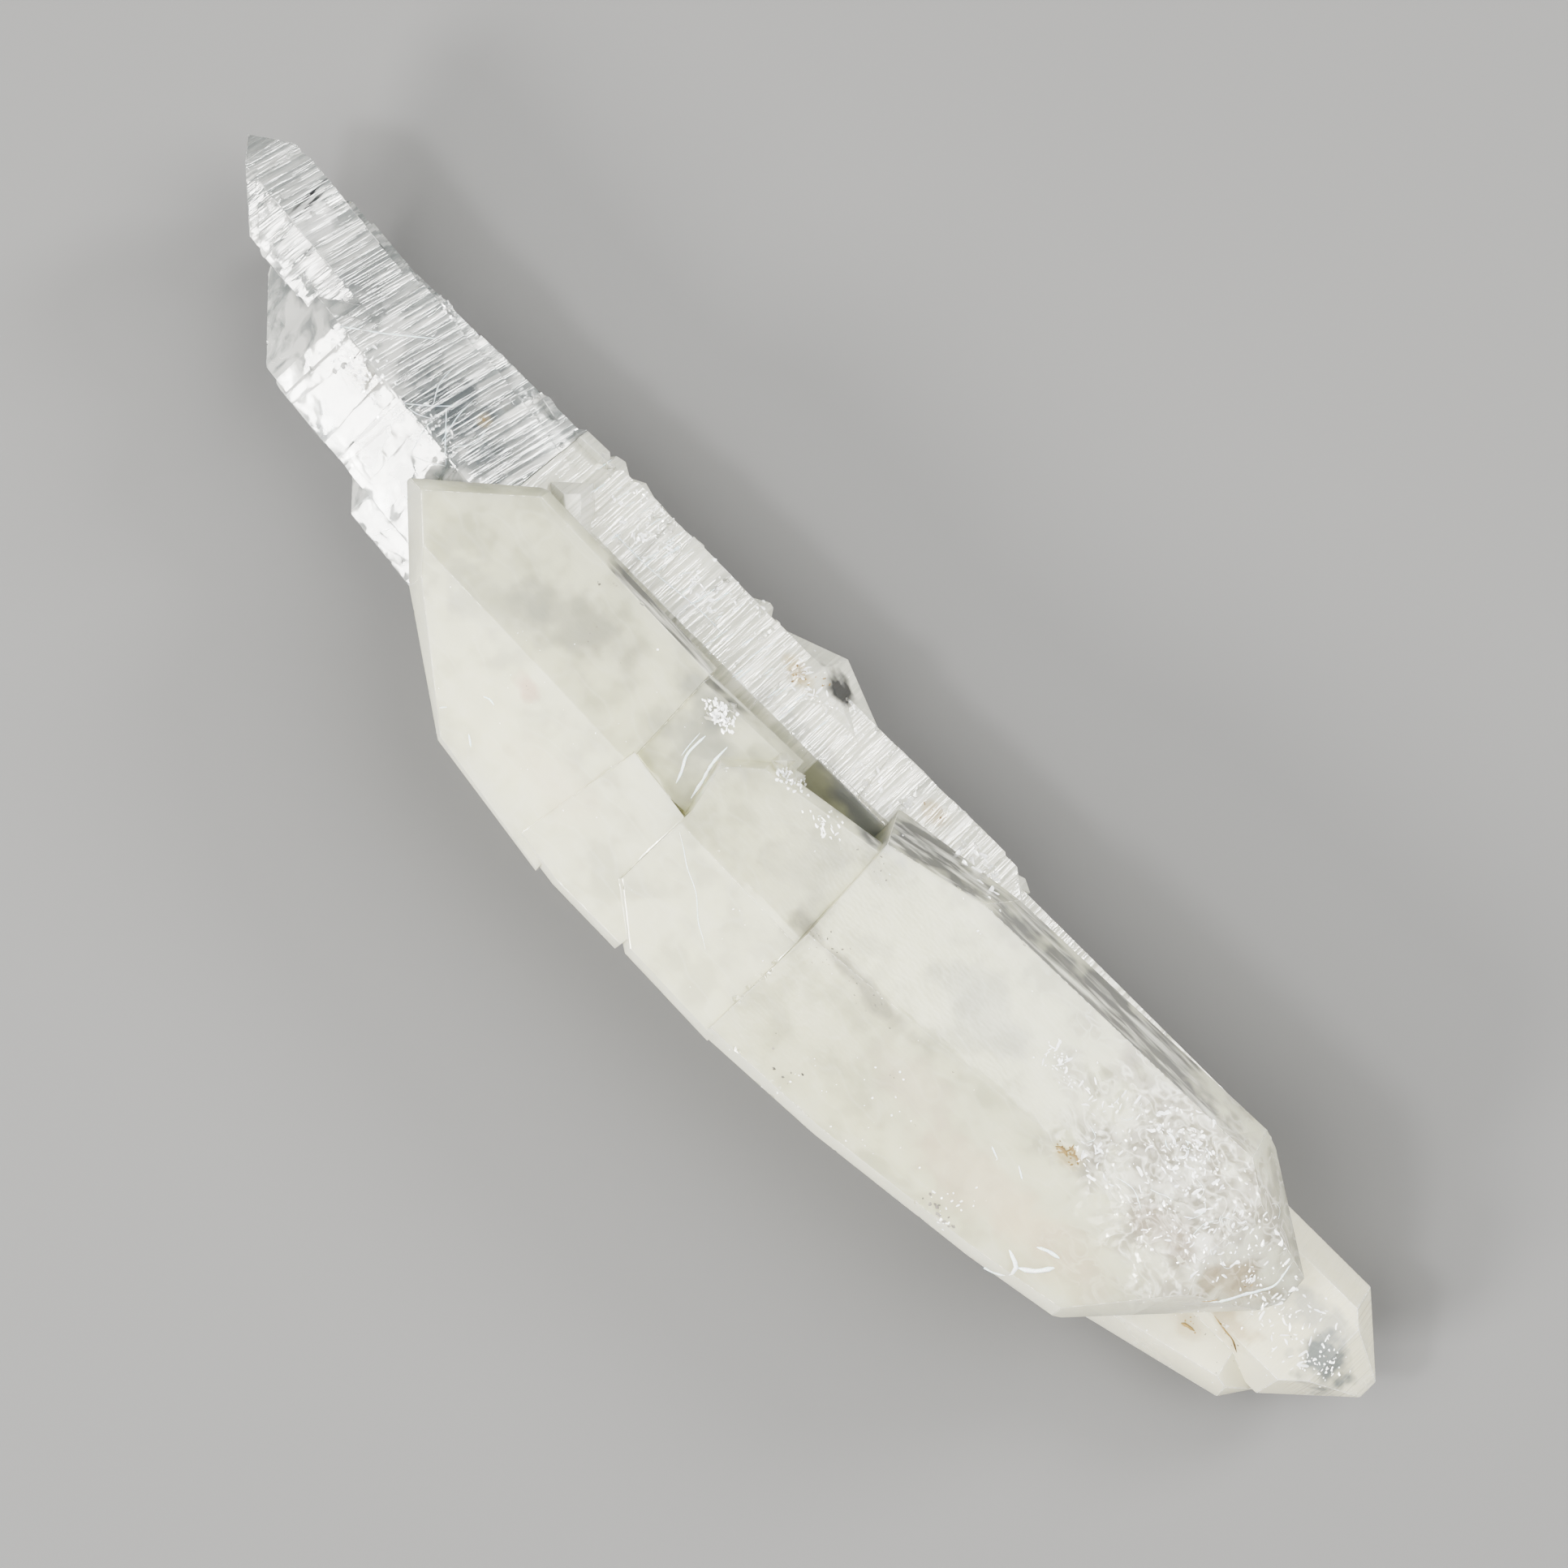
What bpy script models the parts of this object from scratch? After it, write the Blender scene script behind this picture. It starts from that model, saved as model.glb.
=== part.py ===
"""Faden quartz: a flat cluster of quartz crystals grown together side by side, as one solid.

Run with: blender --background --python part.py

Frame: metres, +Z up. The cluster lies on the flat back of its rear crystals. +X runs along its length
to the clear spire, and the origin is under the middle of its box, on the surface that it lies on.

Every crystal is a block cut out by planes, one plane for each face, as a quartz crystal is: the faces
of the prism zone run along the crystal's long axis, and rhomb faces close its two ends. The crystals
are described in millimetres, which is their scale, and each object that holds one is scaled to metres.
"""
import math
import random

import bmesh
import bpy
from mathutils import Matrix, Vector

MM = 0.001

# Driving dimensions of the whole cluster, in millimetres.
CREST = 7.6             # ridge of the lower plate, the highest line of the cluster
PLATE_WAIST = 5.9       # height of the widest line of the milky plates
PLATE_BACK = 1.5        # how low the milky plates reach into the rear crystals
REAR_CREST = 5.2        # ridge of the clear crystals behind them
BACK = 0.0              # the flat back that the cluster lies on
BLOCK = 80.0            # edge of the cube that each crystal is cut from
WELD = 0.002            # corners closer than this are one corner
PARALLEL = 0.01         # a normal's part along the axis, below which its face runs along the axis

# Growth steps across a crystal. Widths and gaps are shares of the distance from step to step.
STEP_SLOPE = 80.0
STEP_SINK = 0.3         # how deep the hidden faces of a step lie inside its crystal
STEP_GAP = (0.05, 0.45)
STEP_WIDTH = (0.15, 0.5)
STEP_LIFT = (0.03, 0.09)

# The tiny crystals of a druse.
DRUSE_WIDTH = (0.28, 0.5)
DRUSE_LENGTH = 1.5      # length of a crystal in its widths
DRUSE_TURN = 80.0       # how far their headings stray, in degrees
DRUSE_DEPTH = 0.8       # how deep they reach below the face that they grow on
DRUSE_RISE = 0.15       # how far the highest of them stands above it
DRUSE_FLAT = 0.6        # width of the patch, as a share of its length

# Angles of a quartz crystal, in degrees.
RHOMB_TO_AXIS = 51.8    # from the long axis to the normal of a rhomb face
SIDE_SLOPE = 60.0       # slope of the side faces of a crystal that lies on a prism face
SIDE_RHOMB_BEARING = 47.8
SIDE_RHOMB_SLOPE = 66.9
NOSE_SLOPE = 38.2
NOSE_BEARING = 10.0     # an end face with a bearing below this is a nose, square across the axis


def facing(bearing, slope):
    """The normal of a face: bearing in plan from the long axis, slope from straight up."""
    turn, lean = math.radians(bearing), math.radians(slope)
    return Vector((math.cos(turn) * math.sin(lean), math.sin(turn) * math.sin(lean), math.cos(lean)))


def plan_face(bearing, reach, level, slope):
    """A face through the plan line that lies reach from the crystal's centre, at this level."""
    line = facing(bearing, 90) * reach
    return facing(bearing, slope), Vector((line.x, line.y, level))


def top_face(roll, offset, level):
    """A face along the axis, rolled to the left from straight up, through the line at this offset."""
    return facing(90, roll), Vector((0, offset, level))


def side_pair(bearing, reach, level):
    """The two faces that meet at the crystal's widest line there, one above it and one below it."""
    across = abs(bearing) if abs(bearing) < 90 else 180 - abs(bearing)
    share = (90 - across) / (90 - SIDE_RHOMB_BEARING)
    slope = SIDE_SLOPE + share * (SIDE_RHOMB_SLOPE - SIDE_SLOPE)
    if across < NOSE_BEARING:
        slope = NOSE_SLOPE
    return [plan_face(bearing, reach, level, slope), plan_face(bearing, reach, level, 180 - slope)]


def rhomb_on(roll, point, end=1):
    """The rhomb face that stands on the prism face at this roll, through a point, at the tip or tail."""
    turn, lean = math.radians(roll), math.radians(RHOMB_TO_AXIS)
    normal = Vector((end * math.cos(lean), math.sin(lean) * math.sin(turn), math.sin(lean) * math.cos(turn)))
    return normal, Vector(point)


def describe(name, x, y, heading, planes):
    return {"name": name, "x": x, "y": y, "heading": heading, "planes": planes}


def flat_crystal(name, x, y, heading, tops, sides, back, walls=()):
    """A crystal lying on a prism face. tops are top_face rows, sides are side_pair rows, and walls are
    single plan_face rows."""
    planes = [top_face(*row) for row in tops] + [plan_face(*row) for row in walls]
    for row in sides:
        planes += side_pair(*row)
    planes.append((Vector((0, 0, -1)), Vector((0, 0, back))))
    return describe(name, x, y, heading, planes)


def edge_crystal(name, x, y, heading, ridge, left, right, waist, tip, tail, back, crest=None):
    """A crystal lying on the edge between two prism faces, with upright sides. ridge is (offset, level),
    left and right are reaches, tip and tail are the (left, right) reaches of their upright rhomb faces,
    and crest is where the ridge ends in two more rhomb faces."""
    offset, level = ridge
    planes = [top_face(30, offset, level), top_face(-30, offset, level)]
    for sign, reach in ((1, left), (-1, right)):
        planes.append(plan_face(sign * 90, reach, 0, 90))
        planes.append(plan_face(sign * 90, reach, waist, 150))
    for bearing, (to_left, to_right) in ((RHOMB_TO_AXIS, tip), (180 - RHOMB_TO_AXIS, tail)):
        end = 1 if bearing < 90 else -1
        for sign, reach in ((1, to_left), (-1, to_right)):
            planes.append(plan_face(sign * bearing, reach, 0, 90))
            corner = plan_face(sign * bearing, reach, waist, 90)[1]
            planes.append(rhomb_on(sign * 150, corner, end))
    if crest:
        for roll in (30, -30):
            planes.append(rhomb_on(roll, (crest, offset, level)))
    planes.append((Vector((0, 0, -1)), Vector((0, 0, back))))
    return describe(name, x, y, heading, planes)


# The milky plates in front. They are mosaics of blocks that end in steps across the long axis.
lower_plate = flat_crystal(
    "lower plate", -10.5, 0.0, 8.5,
    tops=((16, -0.28, CREST), (-6, -0.28, CREST), (-14, -3.4, CREST - 0.3)),
    sides=((87.9, 4.24, PLATE_WAIST), (91.5, 4.05, PLATE_WAIST), (94.5, 4.18, PLATE_WAIST),
           (131.9, 6.68, 5.7), (180, 10.75, 5.3), (-127.7, 8.0, 5.3), (-93.1, 4.82, 5.65)),
    walls=((-3, 6.95, CREST, 80), (-83.1, 4.55, 7.2, 65)),
    back=PLATE_BACK)
middle_plate = flat_crystal(
    "middle plate", -1.0, 1.1, 1.5,
    tops=((16, 0.2, CREST - 0.3), (-4, 0.2, CREST - 0.3)),
    sides=((90, 4.03, 5.85), (57.5, 3.72, 5.85)),
    walls=((2, 2.25, CREST, 84), (-90, 0.3, 0, 90), (180, 2.9, CREST, 90)),
    back=PLATE_BACK)
middle_side = flat_crystal(
    "middle side", -1.0, 1.1, 1.5,
    tops=((16, 0.22, CREST - 0.27), (-4, 0.22, CREST - 0.27)),
    sides=((-79.5, 3.19, 6.6), (-47.8, 3.33, 6.6), (-90, 4.12, 6.6)),
    walls=((13.1, 2.34, 6.6, 75), (90, -0.05, 0, 90), (180, 2.8, CREST, 90)),
    back=PLATE_BACK + 0.1)
upper_plate = flat_crystal(
    "upper plate", 6.0, 1.7, 1.7,
    tops=((15, -0.3, CREST - 0.65), (-4, -0.3, CREST - 0.65)),
    sides=((83.5, 3.52, 5.75), (57.1, 3.82, 5.75), (47.8, 4.47, 5.75), (-47.8, 6.37, 6.0),
           (-90, 4.05, 6.2)),
    walls=((184.3, 2.4, CREST, 85),),
    back=PLATE_BACK + 0.5)
upper_band = flat_crystal(
    "upper band", 2.5, 1.7, -4.0,
    tops=((15, -0.3, CREST - 0.54),),
    sides=((96.2, 3.68, 5.7), (89.2, 3.66, 5.7)),
    walls=((-90, 0.62, 0, 90), (0, 1.12, CREST, 80), (180, 2.95, 0, 90)),
    back=PLATE_BACK + 0.4)
upper_notch = flat_crystal(
    "upper notch", 3.0, 0.0, 5.0,
    tops=((-3, 0.0, CREST - 0.92),),
    sides=((-90, 2.25, 6.0),),
    walls=((90, 1.2, 0, 90), (0, 1.6, 0, 90), (180, 3.0, 0, 90)),
    back=PLATE_BACK + 0.7)

# The clear crystals behind, which show past the plates' edges.
spire = edge_crystal(
    "spire", 16.0, -0.9, -2.5, ridge=(0.15, 5.8), left=2.65, right=2.42, waist=1.5,
    tip=(4.15, 6.6), tail=(7, 7), back=0.6, crest=2.84)
spire_flank = edge_crystal(
    "spire flank", 16.0, -0.9, -2.5, ridge=(0.15, 5.92), left=0.15, right=2.5, waist=1.8,
    tip=(7, 1.85), tail=(7, 7), back=0.9)
spire_nose = edge_crystal(
    "spire nose", 21.0, -1.95, -2.0, ridge=(0.15, 5.35), left=1.42, right=1.38, waist=2.6,
    tip=(2.05, 2.8), tail=(1.9, 7), back=1.2, crest=3.2)
spire_block = edge_crystal(
    "spire block", 12.0, 0.0, -3.0, ridge=(0.0, 5.25), left=2.75, right=3.4, waist=2.2,
    tip=(3.65, 5.2), tail=(7, 7), back=0.5, crest=2.5)
spire_side = edge_crystal(
    "spire side", 13.0, -1.5, 3.5, ridge=(0.0, 5.12), left=1.5, right=2.4, waist=2.2,
    tip=(5.0, 6.4), tail=(4.5, 4.2), back=0.3, crest=4.5)
facet_point = flat_crystal(
    "facet point", 9.9, -2.6, 4.0, tops=((-10, -0.3, 5.75),),
    sides=((90, 1.4, 4.9), (-90, 0.95, 4.9), (47.8, 1.0, 4.9), (-47.8, 0.86, 4.9), (-132.2, 0.25, 4.9),
           (132.2, 1.2, 4.9)),
    back=3.2)
upper_strip = edge_crystal(
    "upper strip", 6.0, -0.5, 3.0, ridge=(-2.0, REAR_CREST), left=3.3, right=3.95, waist=1.2,
    tip=(4.5, 5.55), tail=(9, 9), back=BACK, crest=4.1)
middle_strip = edge_crystal(
    "middle strip", -2.0, -0.8, 4.0, ridge=(-2.3, REAR_CREST - 0.07), left=3.4, right=4.02, waist=1.35,
    tip=(8.0, 8.0), tail=(8.0, 6.0), back=BACK, crest=5.5)
lower_strip = edge_crystal(
    "lower strip", -11.0, -0.9, 3.5, ridge=(-3.0, REAR_CREST - 0.7), left=3.3, right=4.15, waist=1.5,
    tip=(8.0, 8.0), tail=(7.0, 7.3), back=BACK, crest=6.0)
side_point = flat_crystal(
    "side point", 0.5, -3.8, -18.0, tops=((0, 0, 4.5),),
    sides=((90, 1.5, 3.2), (-90, 1.28, 3.2), (47.8, 2.6, 3.2), (-47.8, 2.0, 3.2), (0, 3.2, 3.2),
           (132.2, 2.5, 3.2), (-132.2, 2.5, 3.2)),
    back=1.4)
lower_point = flat_crystal(
    "lower point", -19.5, -2.4, 3.6, tops=((0, 0, 3.9),),
    sides=((90, 2.55, 2.6), (-90, 2.1, 2.6), (132.2, 4.0, 2.6), (-132.2, 3.8, 2.6), (180, 5.45, 2.6),
           (47.8, 7.0, 2.6), (-47.8, 7.0, 2.6)),
    back=0.5)
lower_side_point = flat_crystal(
    "lower side point", -18.0, 0.2, 17.0, tops=((0, 0, 3.3),),
    sides=((90, 1.88, 2.3), (-90, 2.0, 2.3), (132.2, 3.9, 2.3), (-132.2, 4.7, 2.3), (180, 4.6, 2.3),
           (47.8, 5.0, 2.3), (-47.8, 6.0, 2.3)),
    back=0.3)

CRYSTALS = [
    lower_plate, middle_plate, middle_side, upper_plate, upper_band, upper_notch,
    spire, spire_flank, spire_nose, spire_block, spire_side, facet_point,
    upper_strip, middle_strip, lower_strip,
    side_point, lower_point, lower_side_point,
]


def ledge(source, name, first, last, lift):
    """A growth step: a slice of the same crystal across its axis, lifted a little off its upper faces
    and its sides. Its other faces are sunk, so that no face of it lies in a face of the crystal."""
    planes = []
    for normal, point in source["planes"]:
        lifted = abs(normal.x) < PARALLEL and normal.z > -PARALLEL
        planes.append((normal, point + normal * (lift if lifted else -STEP_SINK)))
    planes += [plan_face(180, -first, CREST, STEP_SLOPE), plan_face(0, last, CREST, STEP_SLOPE)]
    return dict(source, name=name, planes=planes)


def ledges(source, first, last, count, seed):
    """Growth steps of uneven width and height along a stretch of a crystal."""
    dice = random.Random(seed)
    stride = (last - first) / count
    steps = []
    for index in range(count):
        begin = first + stride * (index + dice.uniform(*STEP_GAP))
        width = stride * dice.uniform(*STEP_WIDTH)
        lift = dice.uniform(*STEP_LIFT)
        steps.append(ledge(source, f"{source['name']} step {index + 1}", begin, begin + width, lift))
    return steps


CRYSTALS += ledges(spire, -3.5, 4.5, 9, seed=3)
CRYSTALS += ledges(spire_flank, -3.2, 2.2, 8, seed=6)
CRYSTALS += ledges(spire_nose, -0.6, 3.2, 5, seed=8)
CRYSTALS += ledges(spire_side, -2.2, 2.6, 6, seed=5)
CRYSTALS += ledges(upper_strip, -3.4, 3.6, 10, seed=11)
CRYSTALS += ledges(middle_strip, -3.6, 0.2, 5, seed=21)


def small_point(name, x, y, heading, length, width, low, high):
    """A small crystal with a point at each end, between two levels."""
    half, waist = width / 2, (low + high) / 2
    reach = length / 2 * math.cos(math.radians(SIDE_RHOMB_BEARING))
    return flat_crystal(
        name, x, y, heading, tops=((0, 0, high),),
        sides=((90, half, waist), (-90, half, waist),
               (SIDE_RHOMB_BEARING, reach, waist), (-SIDE_RHOMB_BEARING, reach, waist),
               (180 - SIDE_RHOMB_BEARING, reach, waist), (SIDE_RHOMB_BEARING - 180, reach, waist)),
        back=low)


# Small crystals on the right edge: x, y, heading, length, width, lowest and highest level.
EDGE_POINTS = (
    (17.4, -3.42, 12, 1.1, 0.5, 3.4, 4.5),
    (13.0, -3.82, -8, 1.0, 0.4, 3.3, 4.4),
    (11.3, -3.98, 5, 1.6, 0.6, 3.0, 4.5),
    (10.4, -4.08, 15, 1.1, 0.7, 2.8, 4.3),
    (9.3, -4.15, -12, 1.1, 0.6, 3.0, 4.4),
    (8.5, -4.08, 20, 0.8, 0.5, 3.2, 4.5),
    (7.1, -4.3, 8, 0.9, 0.45, 3.2, 4.3),
    (4.35, -4.5, -10, 1.0, 0.75, 2.9, 4.3),
    (3.75, -4.4, 10, 0.8, 0.6, 3.1, 4.5),
    (-2.2, -4.72, 12, 0.9, 0.4, 2.8, 4.2),
    (-4.2, -4.85, -6, 0.8, 0.45, 2.8, 4.1),
    (-6.7, -4.75, 20, 1.0, 0.6, 2.6, 4.0),
)
CRYSTALS += [small_point(f"edge point {index + 1}", *row) for index, row in enumerate(EDGE_POINTS)]


def druse(name, x, y, level, spread, count, seed):
    """A patch of tiny crystals at all headings, standing a little above this level."""
    dice = random.Random(seed)
    patch = []
    for index in range(count):
        turn, out = dice.uniform(0, math.tau), spread * math.sqrt(dice.random())
        width = dice.uniform(*DRUSE_WIDTH)
        patch.append(small_point(
            f"{name} {index + 1}", x + out * math.cos(turn), y + out * math.sin(turn) * DRUSE_FLAT,
            dice.uniform(-DRUSE_TURN, DRUSE_TURN), width * DRUSE_LENGTH, width,
            level - DRUSE_DEPTH, level + dice.uniform(0.0, DRUSE_RISE)))
    return patch


CRYSTALS += druse("upper druse", 2.75, -1.6, 6.7, 0.6, 10, seed=2)
CRYSTALS += druse("middle druse", 0.2, -1.95, 7.0, 0.5, 7, seed=4)


def cut_block(described):
    """Cut one crystal out of a cube with its planes. Its mesh is in millimetres, its object scaled."""
    place = (Matrix.Translation((described["x"], described["y"], 0))
             @ Matrix.Rotation(math.radians(described["heading"]), 4, "Z"))
    bm = bmesh.new()
    bmesh.ops.create_cube(bm, size=BLOCK)
    for normal, point in described["planes"]:
        geometry = bm.verts[:] + bm.edges[:] + bm.faces[:]
        bmesh.ops.bisect_plane(bm, geom=geometry, plane_co=point, plane_no=normal, clear_outer=True)
        bmesh.ops.holes_fill(bm, edges=bm.edges[:])
    bmesh.ops.remove_doubles(bm, verts=bm.verts[:], dist=WELD)
    bmesh.ops.recalc_face_normals(bm, faces=bm.faces[:])
    bm.transform(place)
    name = described["name"].replace(" ", "_")
    mesh = bpy.data.meshes.new(name)
    bm.to_mesh(mesh)
    bm.free()
    block = bpy.data.objects.new(name, mesh)
    block.scale = (MM, MM, MM)
    return block


def clear_scene():
    for thing in list(bpy.data.objects):
        bpy.data.objects.remove(thing, do_unlink=True)


def new_collection(name):
    made = bpy.data.collections.new(name)
    bpy.context.scene.collection.children.link(made)
    return made


def quartz_material():
    material = bpy.data.materials.new("quartz")
    material.use_nodes = True
    shader = material.node_tree.nodes["Principled BSDF"]
    shader.inputs["Base Color"].default_value = (0.93, 0.93, 0.90, 1)
    shader.inputs["Roughness"].default_value = 0.12
    shader.inputs["Metallic"].default_value = 0.0
    shader.inputs["IOR"].default_value = 1.544
    shader.inputs["Transmission Weight"].default_value = 0.6
    return material


def hide_guide(thing, collection):
    collection.objects.link(thing)
    thing.hide_render = True
    thing.display_type = "WIRE"


def box_of(mesh):
    """The lowest and highest corners of a mesh."""
    low = Vector([min(vertex.co[axis] for vertex in mesh.vertices) for axis in range(3)])
    high = Vector([max(vertex.co[axis] for vertex in mesh.vertices) for axis in range(3)])
    return low, high


def grow_cluster(described, part_collection, crystal_collection):
    """Join all crystals in one solid, and stand it on the origin. EXACT leaves open edges where a growth
    step almost touches an edge of its crystal, so the joins use MANIFOLD, and every block is closed."""
    seed, *others = [cut_block(one) for one in described]
    hide_guide(seed, crystal_collection)
    for other in others:
        hide_guide(other, crystal_collection)
        join = seed.modifiers.new("join " + other.name, "BOOLEAN")
        join.operation = "UNION"
        join.solver = "MANIFOLD"
        join.object = other
    bpy.context.view_layer.update()
    joined = seed.evaluated_get(bpy.context.evaluated_depsgraph_get())
    mesh = bpy.data.meshes.new_from_object(joined)
    mesh.name = "quartz_cluster"
    low, high = box_of(mesh)
    foot = Vector(((low.x + high.x) / 2, (low.y + high.y) / 2, low.z))
    mesh.transform(Matrix.Scale(MM, 4) @ Matrix.Translation(-foot))
    mesh.materials.clear()
    mesh.materials.append(quartz_material())
    cluster = bpy.data.objects.new("quartz_cluster", mesh)
    part_collection.objects.link(cluster)
    print("foot, mm:", tuple(foot), "size, mm:", tuple(high - low))


clear_scene()
grow_cluster(CRYSTALS, new_collection("faden_quartz"), new_collection("crystals"))
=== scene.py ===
# %% [markdown]
# # Faden quartz: the looks
#
# A faden quartz is a flat cluster of quartz crystals that grew side by side while the rock around them
# kept cracking. This cluster is about 5 cm long. Its front crystals are milky plates, full of tiny
# trapped bubbles, and the crystals behind and at both ends are as clear as window glass.
#
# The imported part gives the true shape. This lesson keeps that shape, and adds what a shape in flat
# planes can't show: growth lines, chips, cloudy and clear quartz, white threads and rust stains.

import math
import random

import bmesh
import bpy
from mathutils import Matrix, Vector, noise
from mathutils.bvhtree import BVHTree
from mathutils.kdtree import KDTree


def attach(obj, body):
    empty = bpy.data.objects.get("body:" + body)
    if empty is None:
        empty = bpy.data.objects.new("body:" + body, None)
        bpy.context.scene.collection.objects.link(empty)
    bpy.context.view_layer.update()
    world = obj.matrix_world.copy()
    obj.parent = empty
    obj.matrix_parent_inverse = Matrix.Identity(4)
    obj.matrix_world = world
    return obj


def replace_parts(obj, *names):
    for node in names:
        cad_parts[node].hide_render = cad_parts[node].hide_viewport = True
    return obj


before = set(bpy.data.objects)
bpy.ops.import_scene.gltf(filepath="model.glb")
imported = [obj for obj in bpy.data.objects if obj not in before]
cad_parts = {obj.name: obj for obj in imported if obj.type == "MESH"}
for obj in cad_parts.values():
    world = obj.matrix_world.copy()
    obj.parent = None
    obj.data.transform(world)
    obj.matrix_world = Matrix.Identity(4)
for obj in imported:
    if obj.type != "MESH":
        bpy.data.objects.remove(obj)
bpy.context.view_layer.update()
NODE = "quartz_cluster"
MM = 0.001

# %% [markdown]
# ## Camera
#
# The cluster lies on its flat back, so the camera looks straight down. A long lens keeps the two ends
# of a small thing from spreading apart. Its place is set by what it should see: a square of 46 mm, seen
# from 160 mm above the middle of the crystals, and turned so that the spire points to the upper left.

# %% Camera
scene = bpy.context.scene
AIM = Vector((0.13, -1.61, 5.0)) * MM
HEIGHT = 160.0 * MM
VIEW_WIDTH = 46.0 * MM
TURN = math.radians(228.3)

camera_data = bpy.data.cameras.new("camera")
camera_data.sensor_width = 36.0
camera_data.lens = camera_data.sensor_width * HEIGHT / VIEW_WIDTH
camera_data.clip_start = 0.01
camera = bpy.data.objects.new("camera", camera_data)
camera.matrix_world = Matrix.Translation(AIM + Vector((0, 0, HEIGHT))) @ Matrix.Rotation(TURN, 4, "Z")
scene.collection.objects.link(camera)
scene.camera = camera
print("lens, mm:", round(camera_data.lens, 1))

# %% [markdown]
# ## Floor and light
#
# Clear crystal has no colour of its own. It shows what is around it, so the light matters as much as
# the material does. Two broad lamps, one on each side, light the leaning faces about evenly. Two lower
# ones stand where the roof faces of the clear crystals mirror them. The last lamp is small, so that
# only flakes and creases that tilt the right way throw its light at the camera, as sparks.

# %% Lamps and room
# Name, the way to it, its distance and size in metres, watts and colour.
LAMPS = (
    ("left_lamp", (0.3, 0.5, 1.0), 0.5, 0.4, 1.9, (1.0, 0.99, 0.93)),
    ("right_lamp", (-0.25, -0.55, 1.0), 0.5, 0.4, 2.2, (1.0, 0.99, 0.94)),
    ("low_lamp", (0.15, 0.85, 0.5), 0.45, 0.14, 1.9, (1.0, 0.98, 0.94)),
    ("far_lamp", (-0.2, -0.9, 0.55), 0.5, 0.14, 1.5, (1.0, 1.0, 0.98)),
    ("spark_lamp", (0.3, 0.55, 0.85), 0.5, 0.07, 0.8, (1.0, 1.0, 1.0)),
)
for name, way, distance, size, watts, colour in LAMPS:
    data = bpy.data.lights.new(name, "AREA")
    data.shape = "DISK"
    data.size = size
    data.energy = watts
    data.color = colour
    lamp = bpy.data.objects.new(name, data)
    way = Vector(way).normalized()
    lamp.location = AIM + way * distance
    lamp.rotation_euler = way.to_track_quat("Z", "Y").to_euler()
    scene.collection.objects.link(lamp)

scene.world = bpy.data.worlds.new("dim_room")
scene.world.use_nodes = True
room_light = scene.world.node_tree.nodes["Background"].inputs
room_light["Color"].default_value = (0.46, 0.465, 0.47, 1)
room_light["Strength"].default_value = 0.6
scene.view_settings.look = "AgX - High Contrast"
print("lamps:", [row[0] for row in LAMPS])


# %% Floor
def object_from(bm, name):
    """An object in the scene, made from a bmesh and using it up."""
    mesh = bpy.data.meshes.new(name)
    bm.to_mesh(mesh)
    bm.free()
    made = bpy.data.objects.new(name, mesh)
    scene.collection.objects.link(made)
    return made


def principled(name, **values):
    """A material with these values on its shader's own sockets."""
    material = bpy.data.materials.new(name)
    material.use_nodes = True
    shader = material.node_tree.nodes["Principled BSDF"]
    for key, value in values.items():
        shader.inputs[key.replace("_", " ")].default_value = value
    return material, material.node_tree, shader


FLOOR_GAP = 0.02 * MM   # the crystals don't touch the paint
FLOOR_REACH = 0.6       # metres
floor_bm = bmesh.new()
bmesh.ops.create_grid(floor_bm, x_segments=1, y_segments=1, size=FLOOR_REACH)
floor = object_from(floor_bm, "floor")
floor.location.z = -FLOOR_GAP
floor.data.materials.append(principled("floor_paint", Base_Color=(0.17, 0.17, 0.172, 1), Roughness=0.7)[0])
print("floor, metres across:", floor.dimensions.x)

# %% [markdown]
# ## Cloudy and clear quartz
#
# The part is one solid, but its front is cloudy and the rest is clear. A see-through material needs a
# closed piece around it, so a copy of the solid is parted in three: the milky plates, the clear spire and
# the veiled strips. The cuts run along the clear crystals. Each of those is a long block under a roof of
# two faces, a sixth of a turn apart, as a prism of quartz is. A block is cut from a cube with one bisect
# for each face.

# %% Blocks that hold the clear crystals
CUBE = 80.0


def block(name, x, y, heading, planes, margin):
    """A convex block in millimetres. Each plane is a normal and a point, in the block's own frame."""
    bm = bmesh.new()
    bmesh.ops.create_cube(bm, size=CUBE)
    for normal, point in planes:
        normal = Vector(normal).normalized()
        everything = bm.verts[:] + bm.edges[:] + bm.faces[:]
        bmesh.ops.bisect_plane(bm, geom=everything, plane_co=Vector(point) + normal * margin,
                               plane_no=normal, clear_outer=True)
        bmesh.ops.holes_fill(bm, edges=bm.edges[:])
    bmesh.ops.recalc_face_normals(bm, faces=bm.faces[:])
    bm.transform(Matrix.Translation((x, y, 0)) @ Matrix.Rotation(math.radians(heading), 4, "Z"))
    return object_from(bm, name)


def roof(ridge, left, right, tail, tip):
    """The planes of a crystal that lies on an edge: its roof, its sides and its ends."""
    offset, level = ridge
    top = (0, offset, level)
    return [((0, 0.5, 0.866), top), ((0, -0.5, 0.866), top),
            ((0, 1, 0), (0, left, 0)), ((0, -1, 0), (0, -right, 0)),
            ((-1, 0, 0), (-tail, 0, 0)), ((1, 0, 0), (tip, 0, 0))]


def slab(low, high):
    """The planes of an upright box between two corners."""
    return [((-1, 0, 0), low), ((0, -1, 0), low), ((0, 0, -1), low),
            ((1, 0, 0), high), ((0, 1, 0), high), ((0, 0, 1), high)]


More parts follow.
